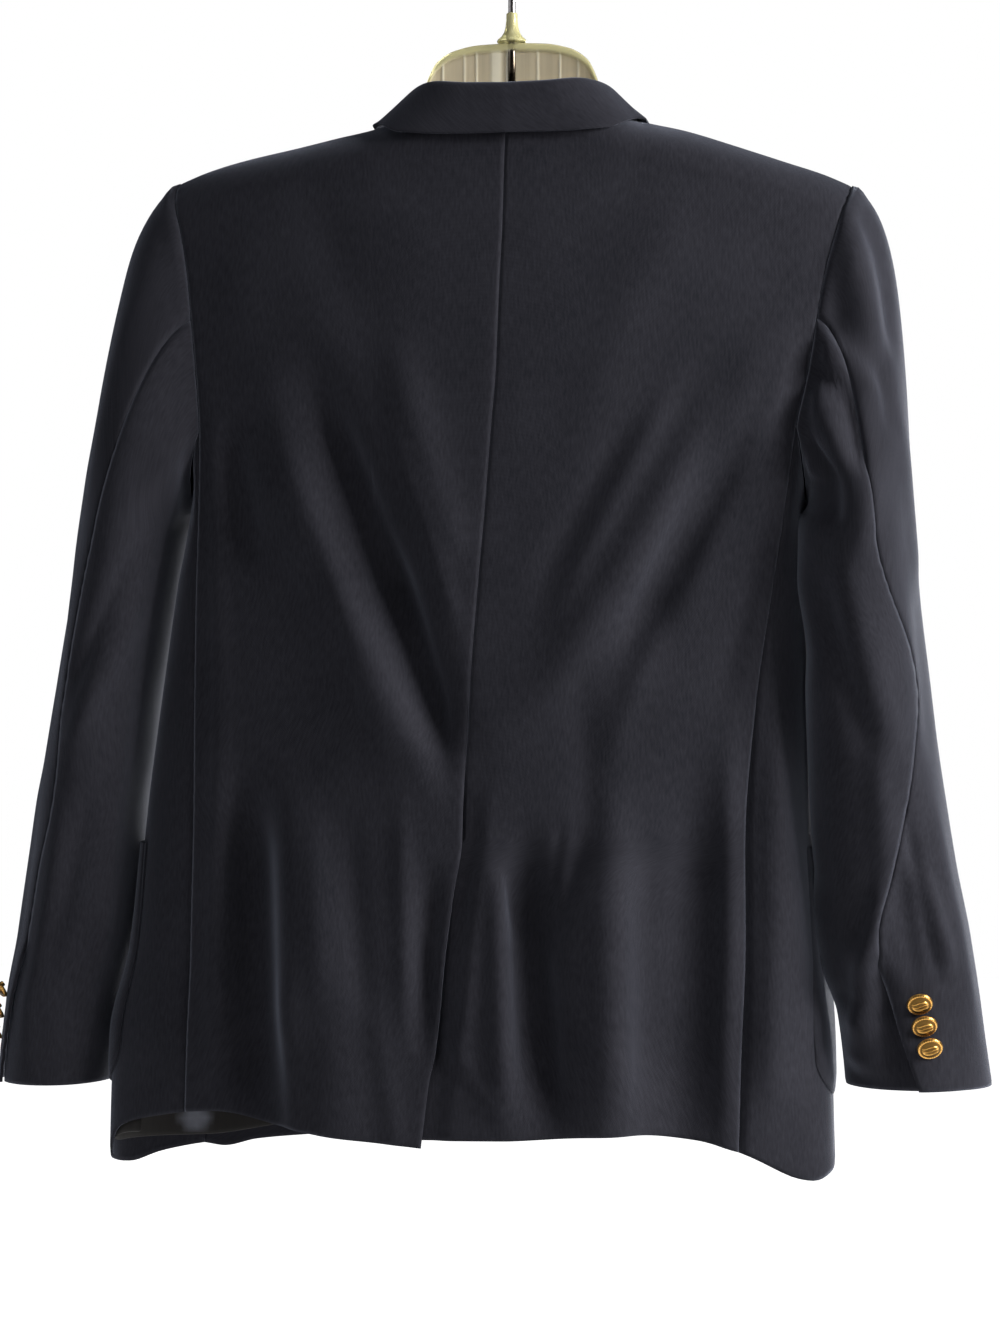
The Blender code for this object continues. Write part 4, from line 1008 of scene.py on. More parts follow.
def swept_object(name, rings, finish):
    """A closed body through rings of points: a grid rolled up, merged and filled at its ends."""
    rings = np.asarray(rings, float)
    rings = np.concatenate([rings, rings[:, :1]], axis=1)
    stations, around = rings.shape[:2]
    form = bmesh.new()
    bmesh.ops.create_grid(form, x_segments=stations - 1, y_segments=around - 1, size=1.0)
    for vert in form.verts:
        i = round((vert.co.x + 1) / 2 * (stations - 1))
        j = round((vert.co.y + 1) / 2 * (around - 1))
        vert.co = rings[i, j]
    bmesh.ops.remove_doubles(form, verts=form.verts, dist=1e-6)
    bmesh.ops.holes_fill(form, edges=[e for e in form.edges if e.is_boundary], sides=0)
    bmesh.ops.recalc_face_normals(form, faces=form.faces)
    for face in form.faces:
        face.smooth = True
    return finished_mesh(name, form, finish)


def finished_mesh(name, form, finish):
    mesh = bpy.data.meshes.new(name)
    form.to_mesh(mesh)
    form.free()
    mesh.materials.append(finish)
    piece = bpy.data.objects.new(name, mesh)
    bpy.context.scene.collection.objects.link(piece)
    return piece


def wire_rings(path, radii, sides=16):
    path = np.asarray(path, float)
    tangents = np.gradient(path, axis=0)
    tangents /= np.linalg.norm(tangents, axis=1)[:, None]
    across = np.array([0.0, 1.0, 0.0])
    rings = []
    for point, tangent, radius in zip(path, tangents, radii):
        other = np.cross(tangent, across)
        other /= np.linalg.norm(other)
        angles = np.linspace(0, 2 * np.pi, sides, endpoint=False)
        round_it = np.cos(angles)[:, None] * across + np.sin(angles)[:, None] * other
        rings.append(point + radius * round_it)
    return rings


def hook_path():
    """Straight shank, a short swing aside, then the round of the hook."""
    turn = np.radians(np.linspace(*HOOK_TURNS, 2 * HOOK_STEPS))
    middle = -HOOK_RADIUS + HOOK_WIRE
    arc = np.stack(
        [-HOOK_RADIUS * np.cos(turn), 0 * turn, middle + HOOK_RADIUS * np.sin(turn)], axis=-1
    )
    shank = refined_path([(0.0, 0.0, -SHANK_END)] + [(x, 0.0, -drop) for x, drop in HOOK_SHANK])
    return np.concatenate([shank, arc])


def refined_path(points):
    """The points with one more between each two."""
    points = np.asarray(points, float)
    return np.stack([refined(points[:, k], 2) for k in range(3)], axis=-1)


def button_object(name, point, normal, radius, finish):
    """Domed shank button: a spun profile, its face raised in a rope rim and three plain curls."""
    form = bmesh.new()
    verts = [form.verts.new((r * radius, 0, h * radius * BUTTON_DOME)) for r, h in BUTTON_PROFILE]
    edges = [form.edges.new(pair) for pair in zip(verts, verts[1:])]
    bmesh.ops.subdivide_edges(form, edges=edges[:11], cuts=2)
    bmesh.ops.spin(
        form, geom=form.verts[:] + form.edges[:], cent=(0, 0, 0), axis=(0, 0, 1),
        angle=2 * np.pi, steps=BUTTON_STEPS, use_merge=True,
    )
    bmesh.ops.remove_doubles(form, verts=form.verts, dist=1e-6)
    relief = form.verts.layers.float.new("relief")
    for vert in form.verts:
        r = vert.co.xy.length / radius
        if vert.co.z < 0.25 * radius:
            vert[relief] = 0.4
            continue
        turn = np.arctan2(vert.co.y, vert.co.x)
        x, y = vert.co.x / radius, vert.co.y / radius
        rope = np.exp(-(((r - 0.88) / 0.07) ** 2)) * (0.5 + 0.5 * np.sin(30 * turn + 9 * r))
        curls = 0.0
        for shift in CURL_SHIFTS:
            line = y - shift - 0.16 * np.sin(3.4 * x + 4 * shift)
            curls += np.exp(-((line / 0.055) ** 2))
        curls *= np.clip((0.66 - r) / 0.1, 0, 1)
        vert[relief] = min(rope + curls, 1.0)
        vert.co.z += radius * (ROPE_RELIEF * rope + CURL_RELIEF * curls)
    bmesh.ops.recalc_face_normals(form, faces=form.faces)
    for face in form.faces:
        face.smooth = True
    turn = Vector(normal).to_track_quat("Z", "Y").to_matrix().to_4x4()
    bmesh.ops.transform(form, matrix=Matrix.Translation(Vector(point)) @ turn, verts=form.verts)
    return finished_mesh(name, form, finish)


def new_finish(name):
    """A node material with its output and Principled shader joined."""
    made = bpy.data.materials.new(name)
    made.use_nodes = True
    nodes, links = made.node_tree.nodes, made.node_tree.links
    return made, nodes, links, nodes["Principled BSDF"]


def tint_and_painted_light(made, attribute, colour_output, target_colour):
    """The colour, turned to the target colour where the piece's own attribute is 1: tint, painted
    highlight, painted shade.
    """
    nodes, links = made.node_tree.nodes, made.node_tree.links
    share = nodes.new("ShaderNodeAttribute")
    share.attribute_name = attribute
    mix = nodes.new("ShaderNodeMix")
    mix.data_type = "RGBA"
    sockets = {socket.identifier: socket for socket in (*mix.inputs, *mix.outputs)}
    links.new(share.outputs["Fac"], sockets["Factor_Float"])
    links.new(colour_output, sockets["A_Color"])
    sockets["B_Color"].default_value = (*target_colour, 1.0)
    return sockets["Result_Color"]


def wool_finish(cloth):
    """Fine worsted: woven height, faint flecks along the thread and a soft blue sheen."""
    made, nodes, links, shader = new_finish("navy wool")
    uv = nodes.new("ShaderNodeUVMap")
    warp = nodes.new("ShaderNodeTexWave")
    weft = nodes.new("ShaderNodeTexWave")
    for wave, direction in ((warp, "X"), (weft, "Y")):
        wave.bands_direction = direction
        wave.inputs["Scale"].default_value = 2 * np.pi / 20 / cloth.thread_pitch
        wave.inputs["Distortion"].default_value = 0.6
        wave.inputs["Detail"].default_value = 1.0
        links.new(uv.outputs["UV"], wave.inputs["Vector"])
    weave = nodes.new("ShaderNodeMath")
    weave.operation = "MAXIMUM"
    links.new(warp.outputs["Fac"], weave.inputs[0])
    links.new(weft.outputs["Fac"], weave.inputs[1])
    stretch = nodes.new("ShaderNodeMapping")
    stretch.inputs["Scale"].default_value = (1.0, 0.22, 1.0)
    links.new(uv.outputs["UV"], stretch.inputs["Vector"])
    fleck = nodes.new("ShaderNodeTexNoise")
    fleck.inputs["Scale"].default_value = 620.0
    fleck.inputs["Detail"].default_value = 3.0
    links.new(stretch.outputs["Vector"], fleck.inputs["Vector"])
    cloud = nodes.new("ShaderNodeTexNoise")
    cloud.inputs["Scale"].default_value = 14.0
    cloud.inputs["Detail"].default_value = 2.0
    links.new(uv.outputs["UV"], cloud.inputs["Vector"])
    mixed = nodes.new("ShaderNodeMath")
    mixed.operation = "MULTIPLY_ADD"
    mixed.inputs[1].default_value = 0.62
    links.new(fleck.outputs["Fac"], mixed.inputs[0])
    share = nodes.new("ShaderNodeMath")
    share.operation = "MULTIPLY"
    share.inputs[1].default_value = 0.38
    links.new(cloud.outputs["Fac"], share.inputs[0])
    links.new(share.outputs[0], mixed.inputs[2])
    tones = nodes.new("ShaderNodeValToRGB")
    tones.color_ramp.elements[0].position = 0.30
    tones.color_ramp.elements[1].position = 0.70
    tones.color_ramp.elements[0].color = (*cloth.wool_dark, 1.0)
    tones.color_ramp.elements[1].color = (*cloth.wool_light, 1.0)
    links.new(mixed.outputs[0], tones.inputs["Fac"])
    links.new(tones.outputs["Color"], shader.inputs["Base Color"])
    height = nodes.new("ShaderNodeMath")
    height.operation = "MULTIPLY_ADD"
    height.inputs[1].default_value = 0.7
    links.new(fleck.outputs["Fac"], height.inputs[0])
    links.new(weave.outputs[0], height.inputs[2])
    bump = nodes.new("ShaderNodeBump")
    bump.inputs["Strength"].default_value = 0.35
    bump.inputs["Distance"].default_value = 0.0003
    links.new(height.outputs[0], bump.inputs["Height"])
    links.new(bump.outputs["Normal"], shader.inputs["Normal"])
    shader.inputs["Roughness"].default_value = 0.72
    shader.inputs["Specular IOR Level"].default_value = 0.03
    shader.inputs["Sheen Weight"].default_value = 0.30
    shader.inputs["Sheen Roughness"].default_value = 0.38
    shader.inputs["Sheen Tint"].default_value = (0.74, 0.80, 1.0, 1.0)
    return made


def lining_finish(cloth):
    """Satin with a fine rib, long soft streaks and a pale spot of painted highlight."""
    made, nodes, links, shader = new_finish("lining satin")
    uv = nodes.new("ShaderNodeUVMap")
    stretch = nodes.new("ShaderNodeMapping")
    stretch.inputs["Scale"].default_value = (1.0, 0.12, 1.0)
    links.new(uv.outputs["UV"], stretch.inputs["Vector"])
    streaks = nodes.new("ShaderNodeTexNoise")
    streaks.inputs["Scale"].default_value = 240.0
    links.new(stretch.outputs["Vector"], streaks.inputs["Vector"])
    tones = nodes.new("ShaderNodeValToRGB")
    tones.color_ramp.elements[0].color = (*[0.6 * c for c in cloth.lining_colour], 1.0)
    tones.color_ramp.elements[1].color = (*cloth.lining_colour, 1.0)
    links.new(streaks.outputs["Fac"], tones.inputs["Fac"])
    # Painted highlight: a lighter spot where the "pale" attribute is 1
    painted_highlight = tint_and_painted_light(made, "pale", tones.outputs["Color"], (0.11, 0.115, 0.14))
    links.new(painted_highlight, shader.inputs["Base Color"])
    bump = nodes.new("ShaderNodeBump")
    bump.inputs["Strength"].default_value = 0.3
    bump.inputs["Distance"].default_value = 0.0002
    links.new(streaks.outputs["Fac"], bump.inputs["Height"])
    links.new(bump.outputs["Normal"], shader.inputs["Normal"])
    shader.inputs["Roughness"].default_value = 0.42
    shader.inputs["Specular IOR Level"].default_value = 0.12
    shader.inputs["Sheen Weight"].default_value = 0.08
    return made


def gold_finish(trim):
    """Stamped gilt metal: bright on the raised parts and browner in the hollows, its roughness
    varied by noise.
    """
    made, nodes, links, shader = new_finish("gold metal")
    relief = nodes.new("ShaderNodeAttribute")
    relief.attribute_name = "relief"
    tones = nodes.new("ShaderNodeValToRGB")
    tones.color_ramp.elements[0].color = (*[0.14 * c for c in trim.gold_colour], 1.0)
    tones.color_ramp.elements[1].color = (*trim.gold_colour, 1.0)
    tones.color_ramp.elements[1].position = 0.45
    links.new(relief.outputs["Fac"], tones.inputs["Fac"])
    links.new(tones.outputs["Color"], shader.inputs["Base Color"])
    place = nodes.new("ShaderNodeTexCoord")
    wear = nodes.new("ShaderNodeTexNoise")
    wear.inputs["Scale"].default_value = 900.0
    links.new(place.outputs["Object"], wear.inputs["Vector"])
    rough = nodes.new("ShaderNodeMapRange")
    rough.inputs["To Min"].default_value = 0.22
    rough.inputs["To Max"].default_value = 0.46
    links.new(wear.outputs["Fac"], rough.inputs["Value"])
    links.new(rough.outputs["Result"], shader.inputs["Roughness"])
    shader.inputs["Metallic"].default_value = 1.0
    return made


def plastic_finish(name, web_colour, rim_colour, roughness, clear):
    """Aged clear moulding: streaked web, yellower rim and painted highlights on the ribs, with
    faint flow marks.
    """
    made, nodes, links, shader = new_finish(name)
    place = nodes.new("ShaderNodeTexCoord")
    stretch = nodes.new("ShaderNodeMapping")
    stretch.inputs["Scale"].default_value = (1.0, 1.0, 0.05)
    links.new(place.outputs["Object"], stretch.inputs["Vector"])
    flow = nodes.new("ShaderNodeTexNoise")
    flow.inputs["Scale"].default_value = 190.0
    flow.inputs["Detail"].default_value = 4.0
    links.new(stretch.outputs["Vector"], flow.inputs["Vector"])
    rough = nodes.new("ShaderNodeMapRange")
    rough.inputs["To Min"].default_value = roughness * 0.6
    rough.inputs["To Max"].default_value = roughness * 1.8
    links.new(flow.outputs["Fac"], rough.inputs["Value"])
    links.new(rough.outputs["Result"], shader.inputs["Roughness"])
    bump = nodes.new("ShaderNodeBump")
    bump.inputs["Strength"].default_value = 0.25
    bump.inputs["Distance"].default_value = 0.0005
    links.new(flow.outputs["Fac"], bump.inputs["Height"])
    links.new(bump.outputs["Normal"], shader.inputs["Normal"])
    tones = nodes.new("ShaderNodeValToRGB")
    tones.color_ramp.elements[0].position = 0.34
    tones.color_ramp.elements[1].position = 0.66
    tones.color_ramp.elements[0].color = (*[0.80 * c for c in web_colour], 1.0)
    tones.color_ramp.elements[1].color = (*web_colour, 1.0)
    links.new(flow.outputs["Fac"], tones.inputs["Fac"])
    edge = tint_and_painted_light(made, "rim", tones.outputs["Color"], rim_colour)
    # Painted highlight: the ribs coloured pale where they catch light
    bright = tint_and_painted_light(made, "rib", edge, (0.86, 0.82, 0.68))
    links.new(bright, shader.inputs["Base Color"])
    shader.inputs["Transmission Weight"].default_value = clear
    shader.inputs["IOR"].default_value = 1.46
    return made


def steel_finish():
    """Plated wire, dulled a little by handling, with painted shade where it runs inside the
    moulding.
    """
    made, nodes, links, shader = new_finish("hook metal")
    place = nodes.new("ShaderNodeTexCoord")
    wear = nodes.new("ShaderNodeTexNoise")
    wear.inputs["Scale"].default_value = 420.0
    links.new(place.outputs["Object"], wear.inputs["Vector"])
    tones = nodes.new("ShaderNodeValToRGB")
    tones.color_ramp.elements[0].color = (0.20, 0.19, 0.19, 1.0)
    tones.color_ramp.elements[1].color = (0.44, 0.42, 0.41, 1.0)
    links.new(wear.outputs["Fac"], tones.inputs["Fac"])
    # Painted shade: dark brown on the wire where it runs inside the moulding
    wear_and_painted_shade = tint_and_painted_light(made, "buried", tones.outputs["Color"], (0.075, 0.060, 0.045))
    links.new(wear_and_painted_shade, shader.inputs["Base Color"])
    rough = nodes.new("ShaderNodeMapRange")
    rough.inputs["To Min"].default_value = 0.18
    rough.inputs["To Max"].default_value = 0.36
    links.new(wear.outputs["Fac"], rough.inputs["Value"])
    links.new(rough.outputs["Result"], shader.inputs["Roughness"])
    shader.inputs["Metallic"].default_value = 1.0
    return made


def settle(piece, nodes):
    """Puts a finished piece on the coat and hides the solids it stands for."""
    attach(piece, BODY_NAME)
    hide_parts(*nodes)
    return piece


class ClothSettings(PropertyGroup):
    wall: FloatProperty(
        name="Wall", description="Thickness of the wool", default=0.0016, min=0.001, max=0.003,
        unit="LENGTH", precision=4,
    )
    thread_pitch: FloatProperty(
        name="Thread pitch", description="Spacing of the woven threads", default=0.0009,
        min=0.0003, max=0.003, unit="LENGTH", precision=5,
    )
    crease_share: FloatProperty(
        name="Creases", description="How strongly the finer creases show", default=1.0,
        min=0.0, max=2.0, subtype="FACTOR",
    )
    wool_dark: FloatVectorProperty(
        name="Wool, dark", description="Darkest tone of the wool", size=3, subtype="COLOR",
        min=0.0, max=1.0, default=(0.0115, 0.0115, 0.0150),
    )
    wool_light: FloatVectorProperty(
        name="Wool, light", description="Lightest tone of the wool", size=3, subtype="COLOR",
        min=0.0, max=1.0, default=(0.0240, 0.0240, 0.0305),
    )
    lining_colour: FloatVectorProperty(
        name="Lining", description="Colour of the satin lining", size=3, subtype="COLOR",
        min=0.0, max=1.0, default=(0.012, 0.0105, 0.0100),
    )


class TrimSettings(PropertyGroup):
    cuff_radius: FloatProperty(
        name="Cuff button radius", description="Half the width of a cuff button", default=0.0088,
        min=0.006, max=0.010, unit="LENGTH", precision=4,
    )
    front_radius: FloatProperty(
        name="Front button radius", description="Half the width of a front button", default=0.0105,
        min=0.008, max=0.013, unit="LENGTH", precision=4,
    )
    droop: FloatProperty(
        name="Droop", description="How far a shank button tips down under its weight", default=0.60,
        min=0.0, max=1.0, subtype="ANGLE",
    )
    gold_colour: FloatVectorProperty(
        name="Gilt", description="Colour of the raised gilt", size=3, subtype="COLOR",
        min=0.0, max=1.0, default=(0.84, 0.47, 0.13),
    )


class HangerSettings(PropertyGroup):
    plastic_colour: FloatVectorProperty(
        name="Plastic", description="Tint of the aged clear plastic", size=3, subtype="COLOR",
        min=0.0, max=1.0, default=(0.66, 0.58, 0.42),
    )
    cone_colour: FloatVectorProperty(
        name="Neck cone", description="Tint of the neck cone", size=3, subtype="COLOR",
        min=0.0, max=1.0, default=(0.74, 0.70, 0.36),
    )
    rim_colour: FloatVectorProperty(
        name="Rim", description="Tint of the thick top bead", size=3, subtype="COLOR",
        min=0.0, max=1.0, default=(0.62, 0.58, 0.33),
    )
    clearness: FloatProperty(
        name="Clearness", description="How much light the plastic lets through", default=0.45,
        min=0.0, max=1.0, subtype="FACTOR",
    )


class StageSettings(PropertyGroup):
    floor_drop: FloatProperty(
        name="Floor drop", description="How far the floor lies below the hook", default=1.30,
        min=0.9, max=2.5, unit="LENGTH",
    )
    key_power: FloatProperty(
        name="Key light", description="Power of the soft light on the coat's right", default=132.0,
        min=0.0, max=1000.0, unit="POWER",
    )
    fill_power: FloatProperty(
        name="Fill light", description="Power of the soft light on the coat's left", default=13.0,
        min=0.0, max=1000.0, unit="POWER",
    )


class BLAZER_OT_body(Operator):
    """Two backs with the vent, two side panels and two fronts, sewn along shared seams"""
    bl_idname = "blazer.body"
    bl_label = "Body panels"

    def execute(self, context):
        cloth = context.scene.blazer_cloth
        wool = wool_finish(cloth)
        for side, word in SIDES:
            for name, grid, creases, seams, folded in (
                ("back", back_panel(side), BACK_CREASES, ["start", "end"], ["foot"]),
                ("side", side_panel(side), BACK_CREASES, ["start", "end"], ["foot"]),
                ("front", front_panel(side), FRONT_CREASES, ["end"], ["start", "foot"]),
            ):
                normals = facing(grid, grid_normals(grid), body_middle(grid))
                x, drop = grid[..., 0], -grid[..., 2]
                at_x = side * x if name == "front" else x
                lift = folds_at(at_x, drop, creases) * cloth.crease_share
                if name != "front":
                    lift = lift + FOLD_EXTRA * folds_at(x, drop, BACK_FOLDS)
                lift = lift + SLOW_WAVE * unevenness(x, drop)
                away = border_distance(grid)
                quiet = ramp(np.minimum(away["start"], away["end"]), 0, 0.02)
                quiet = quiet * ramp(drop - ridge(x), 0.01, 0.05)
                shown = ramp(drop, 0.17, 0.34) if name == "back" else 1.0
                creased = grid + normals * (lift * quiet)[..., None]
                shaped = sewn(creased, normals, seams, folded, shown=shown)
                piece = sheet_object(f"{name}_{word}_cloth", shaped, normals, wool, cloth.wall)
                settle(piece, [f"{name}_{word}"])
        return {"FINISHED"}


class BLAZER_OT_sleeves(Operator):
    """Two-piece sleeves set into the armholes, their creases and the open cuff vents"""
    bl_idname = "blazer.sleeves"
    bl_label = "Sleeves"

    def execute(self, context):
        cloth = context.scene.blazer_cloth
        wool = bpy.data.materials["navy wool"]
        for side, word in SIDES:
            tube, turns = sleeve_tube(side)
            tube, turns = slid(tube, SEAM_SLIDE[side]), slid(turns, SEAM_SLIDE[side])
            middle = tube.mean(axis=0, keepdims=True)
            normals = facing(tube, grid_normals(tube, closed=True), middle)
            drop = -tube[..., 2]
            lift = 0
            for shift in (-1, 0, 1):
                lift = lift + folds_at((turns + shift) * SLEEVE_GIRTH, drop, girth_creases(side))
            depth = border_distance(tube)["top"]
            bead = np.exp(-(((depth - BEAD_PLACE) / BEAD_WIDTH) ** 2))
            rope = BEAD_HEIGHT * bead * ramp(-drop, -BEAD_DROPS[1], -BEAD_DROPS[0])
            lift = lift * cloth.crease_share * ramp(depth, 0.0, 0.02) + rope
            slow = SLOW_WAVE * unevenness(turns * SLEEVE_GIRTH, drop)
            lift = lift + slow * ramp(depth, 0.0, 0.03)
            count = len(tube)
            first, last = HIND_COLUMN * SLEEVE_FINE, FORE_COLUMN * SLEEVE_FINE
            over = [c % count for c in range(last, count + first + 1)]
            under = list(range(first, last + 1))
            shaped = tube + normals * np.asarray(lift)[..., None]
            for name, columns in (("top_sleeve", over), ("under_sleeve", under)):
                out = normals[columns]
                grid = sewn(shaped[columns], out, ["start", "end", "top"], ["foot"], 0.0003)
                if name == "top_sleeve":
                    grid = cuff_flap(grid, out)
                piece = sheet_object(f"{name}_{word}_cloth", grid, out, wool, cloth.wall)
                settle(piece, [f"{name}_{word}"])
        return {"FINISHED"}


def slid(tube, columns):
    """The sleeve's grid with its hind seam moved round by some columns, most above the elbow."""
    places = np.arange(len(tube), dtype=float)
    near = np.exp(-(((places - HIND_COLUMN * SLEEVE_FINE) / SLIDE_WIDTH) ** 2))
    result = tube.copy()
    for row in range(CAP_ROWS * SLEEVE_FINE * 2):
        along = row / (CAP_ROWS * SLEEVE_FINE)
        amount = columns * np.sin(np.pi * along / 2) ** 2
        source = places + amount * near
        flat = tube[:, row].reshape(len(tube), -1)
        for k in range(flat.shape[1]):
            result[:, row].reshape(len(tube), -1)[:, k] = np.interp(source, places, flat[:, k])
    return result


def girth_creases(side):
    """Sleeve creases with their turns made lengths round the sleeve."""
    rows = SLEEVE_CREASES[side].copy()
    rows[:, 0] *= SLEEVE_GIRTH
    rows[:, 2] *= SLEEVE_GIRTH
    return rows


def cuff_flap(grid, normals):
    """The top sleeve's hind edge below the vent's top, lapped over the under sleeve."""
    away = border_distance(grid)["end"]
    low = ramp(-grid[..., 2], VENT_START, VENT_START + CUFF_LAP_RUN)
    near = 1 - ramp(away, 0.0, CUFF_LAP_WIDTH)
    step = grid[-1:] - grid[-4:-3]
    step = step / np.linalg.norm(step, axis=-1)[..., None]
    result = grid + normals * (low * near * CUFF_LIFT)[..., None]
    return result + step * (low * near ** 2 * CUFF_LAP)[..., None]


class BLAZER_OT_collar(Operator):
    """Collar folded at its roll line and two notched lapels"""
    bl_idname = "blazer.collar"
    bl_label = "Collar and lapels"

    def execute(self, context):
        cloth = context.scene.blazer_cloth
        wool = bpy.data.materials["navy wool"]
        grid = collar_grid()
        normals = grid_normals(grid)
        normals = normals if normals[len(grid) // 2, -2, 1] > 0 else -normals
        piece = rounded_piece(sheet_object("collar_cloth", grid, normals, wool, cloth.wall), 2)
        settle(piece, ["collar"])
        for side, word in SIDES:
            grid = lapel_grid(side)
            normals = facing(grid, grid_normals(grid), body_middle(grid))
            piece = sheet_object(f"lapel_{word}_cloth", grid, normals, wool, cloth.wall)
            settle(rounded_piece(piece), [f"lapel_{word}"])
        return {"FINISHED"}


class BLAZER_OT_pockets(Operator):
    """Patch pockets with rounded corners and the satin lining inside the left front"""
    bl_idname = "blazer.pockets"
    bl_label = "Pockets and lining"

    def execute(self, context):
        cloth = context.scene.blazer_cloth
        wool = bpy.data.materials["navy wool"]
        for side, word in SIDES:
            grid = pocket_grid(side)
            normals = facing(grid, grid_normals(grid), body_middle(grid))
            away = border_distance(grid)
            stitch = 0
            for edge in ("start", "end", "foot"):
                row = (away[edge] - STITCH_INSET) / STITCH_WIDTH
                stitch = stitch + STITCH_DEPTH * np.exp(-(row ** 2))
                stitch = stitch + PRESSED_DEPTH * np.exp(-((away[edge] / PRESSED_WIDTH) ** 2))
            shaped = grid - normals * np.asarray(stitch)[..., None]
            piece = sheet_object(f"pocket_{word}_cloth", shaped, normals, wool, cloth.wall)
            settle(rounded_piece(piece), [f"pocket_{word}"])
        grid = lining_grid()
        normals = facing(grid, grid_normals(grid), body_middle(grid))
        satin = lining_finish(cloth)
        x, drop = grid[..., 0], -grid[..., 2]
        inward = np.minimum(folds_at(x, drop, FRONT_CREASES) * cloth.crease_share, 0.0) - SLOW_WAVE
        shaped = grid + normals * inward[..., None]
        piece = sheet_object("lining_left_satin", shaped, normals, satin, LINING_WALL)
        piece = rounded_piece(piece)
        # Marks the lining's painted highlight for its finish
        paint(piece, "pale", on_painted_highlight_spot)
        settle(piece, ["lining_left"])
        return {"FINISHED"}


def on_painted_highlight_spot(x, y, z):
    """1 in the middle of the lining's painted highlight, 0 away from it."""
    wide, high = PAINTED_HIGHLIGHT_SPOT_SIZE
    away = np.hypot((x - PAINTED_HIGHLIGHT_SPOT[0]) / wide, (-z - PAINTED_HIGHLIGHT_SPOT[1]) / high)
    return 1 - ramp(away, 0.6, 1.2)


class BLAZER_OT_buttons(Operator):
    """Domed gilt shank buttons, three on each cuff and two on the front"""
    bl_idname = "blazer.buttons"
    bl_label = "Buttons"

    def execute(self, context):
        trim = context.scene.blazer_trim
        gold = gold_finish(trim)
        for side, word in SIDES:
            for index in range(3):
                node = f"cuff_button_{word}_{index + 1}"
                low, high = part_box(node)
                middle = (low + high) / 2
                drop = np.array([-middle.z])
                centre = sleeve_ring(side, np.array([0.0, 0.5]), np.repeat(drop, 2)).mean(axis=0)
                out = Vector((middle.x - centre[0], middle.y - centre[1], 0)).normalized()
                below = Vector((0, 0, -1))
                normal = (out * np.cos(trim.droop) + below * np.sin(trim.droop)).normalized()
                seat = middle + out * CUFF_BUTTON_LIFT
                piece = button_object(f"{node}_gilt", seat, normal, trim.cuff_radius, gold)
                settle(piece, [node])
        for index in range(2):
            node = f"front_button_{index + 1}"
            low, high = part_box(node)
            middle = (low + high) / 2
            normal = Vector((0, -np.cos(trim.droop / 2), -np.sin(trim.droop / 2)))
            piece = button_object(f"{node}_gilt", middle, normal, trim.front_radius, gold)
            settle(piece, [node])
        return {"FINISHED"}


class BLAZER_OT_hanger(Operator):
    """Clear moulded hanger with its ribbed web, neck cone and plated hook"""
    bl_idname = "blazer.hanger"
    bl_label = "Hanger"

    def execute(self, context):
        hanger = context.scene.blazer_hanger
        clear = plastic_finish(
            "clear plastic", hanger.plastic_colour, hanger.rim_colour, 0.12, hanger.clearness
        )
        cone_finish = plastic_finish(
            "neck plastic", hanger.cone_colour, hanger.cone_colour, 0.22, hanger.clearness
        )
        outer = np.linspace(HANGER_FINE_HALF, HANGER_HALF, HANGER_STEPS * 4)[1:]
        middle = np.linspace(-HANGER_FINE_HALF, HANGER_FINE_HALF, HANGER_FINE_STEPS)
        stations = np.concatenate([-outer[::-1], middle, outer])
        piece = swept_object("hanger_body_moulding", [hanger_section(x) for x in stations], clear)
        paint(piece, "rim", on_rim)
        # Marks where the painted highlight on the ribs goes
        paint(piece, "rib", lambda x, y, z: rib_at(x) * (1 - on_rim(x, y, z)))
        settle(piece, ["hanger_body"])
        angles = np.linspace(0, 2 * np.pi, 48, endpoint=False)
        cone = []
        for radius, drop in NECK_BELL:
            x, y = radius * np.cos(angles), radius * np.sin(angles)
            cone.append(np.stack([x, y, 0 * angles - drop], axis=-1))
        piece = swept_object("hanger_neck_cone", cone, cone_finish)
        soften(piece, 0.0003)
        settle(piece, ["hanger_neck"])
        path = hook_path()
        radii = HOOK_WIRE + WIRE_EXTRA + SHANK_SWELL * ramp(-path[:, 2], *SWELL_DROPS)
        piece = swept_object("hanger_hook_wire", wire_rings(path, radii), steel_finish())
        # Marks the wire inside the moulding for its painted shade
        paint(piece, "buried", lambda x, y, z: ramp(-z, *BURIED_DROPS))
        settle(piece, ["hanger_hook"])
        return {"FINISHED"}


def on_rim(x, y, z):
    """1 on the hanger's top bead, 0 on its web."""
    under = hanger_section(x)[0][2] - z
    rim = HANGER_RIM + RIM_EXTRA
    return 1 - ramp(under, rim, rim + RIM_FADE)


def soften(piece, width):
    bevel = piece.modifiers.new("soft arris", "BEVEL")
    bevel.width = width
    bevel.segments = 2
    bevel.limit_method = "ANGLE"
    bevel.angle_limit = 0.6


def seen_share(nodes, links, lit, seen):
    """Strength of a pale surround: plain white where it is looked at, and dim as a light."""
    path = nodes.new("ShaderNodeLightPath")
    either = nodes.new("ShaderNodeMath")
    either.operation = "MAXIMUM"
    links.new(path.outputs["Is Camera Ray"], either.inputs[0])
    links.new(path.outputs["Is Transmission Ray"], either.inputs[1])
    strength = nodes.new("ShaderNodeMapRange")
    strength.inputs["To Min"].default_value = lit
    strength.inputs["To Max"].default_value = seen
    links.new(either.outputs[0], strength.inputs["Value"])
    return strength.outputs["Result"]


def aimed(place, aim):
    """The turn that points a lamp or the camera from its place at an aim."""
    return (Vector(aim) - Vector(place)).to_track_quat("-Z", "Y").to_euler()


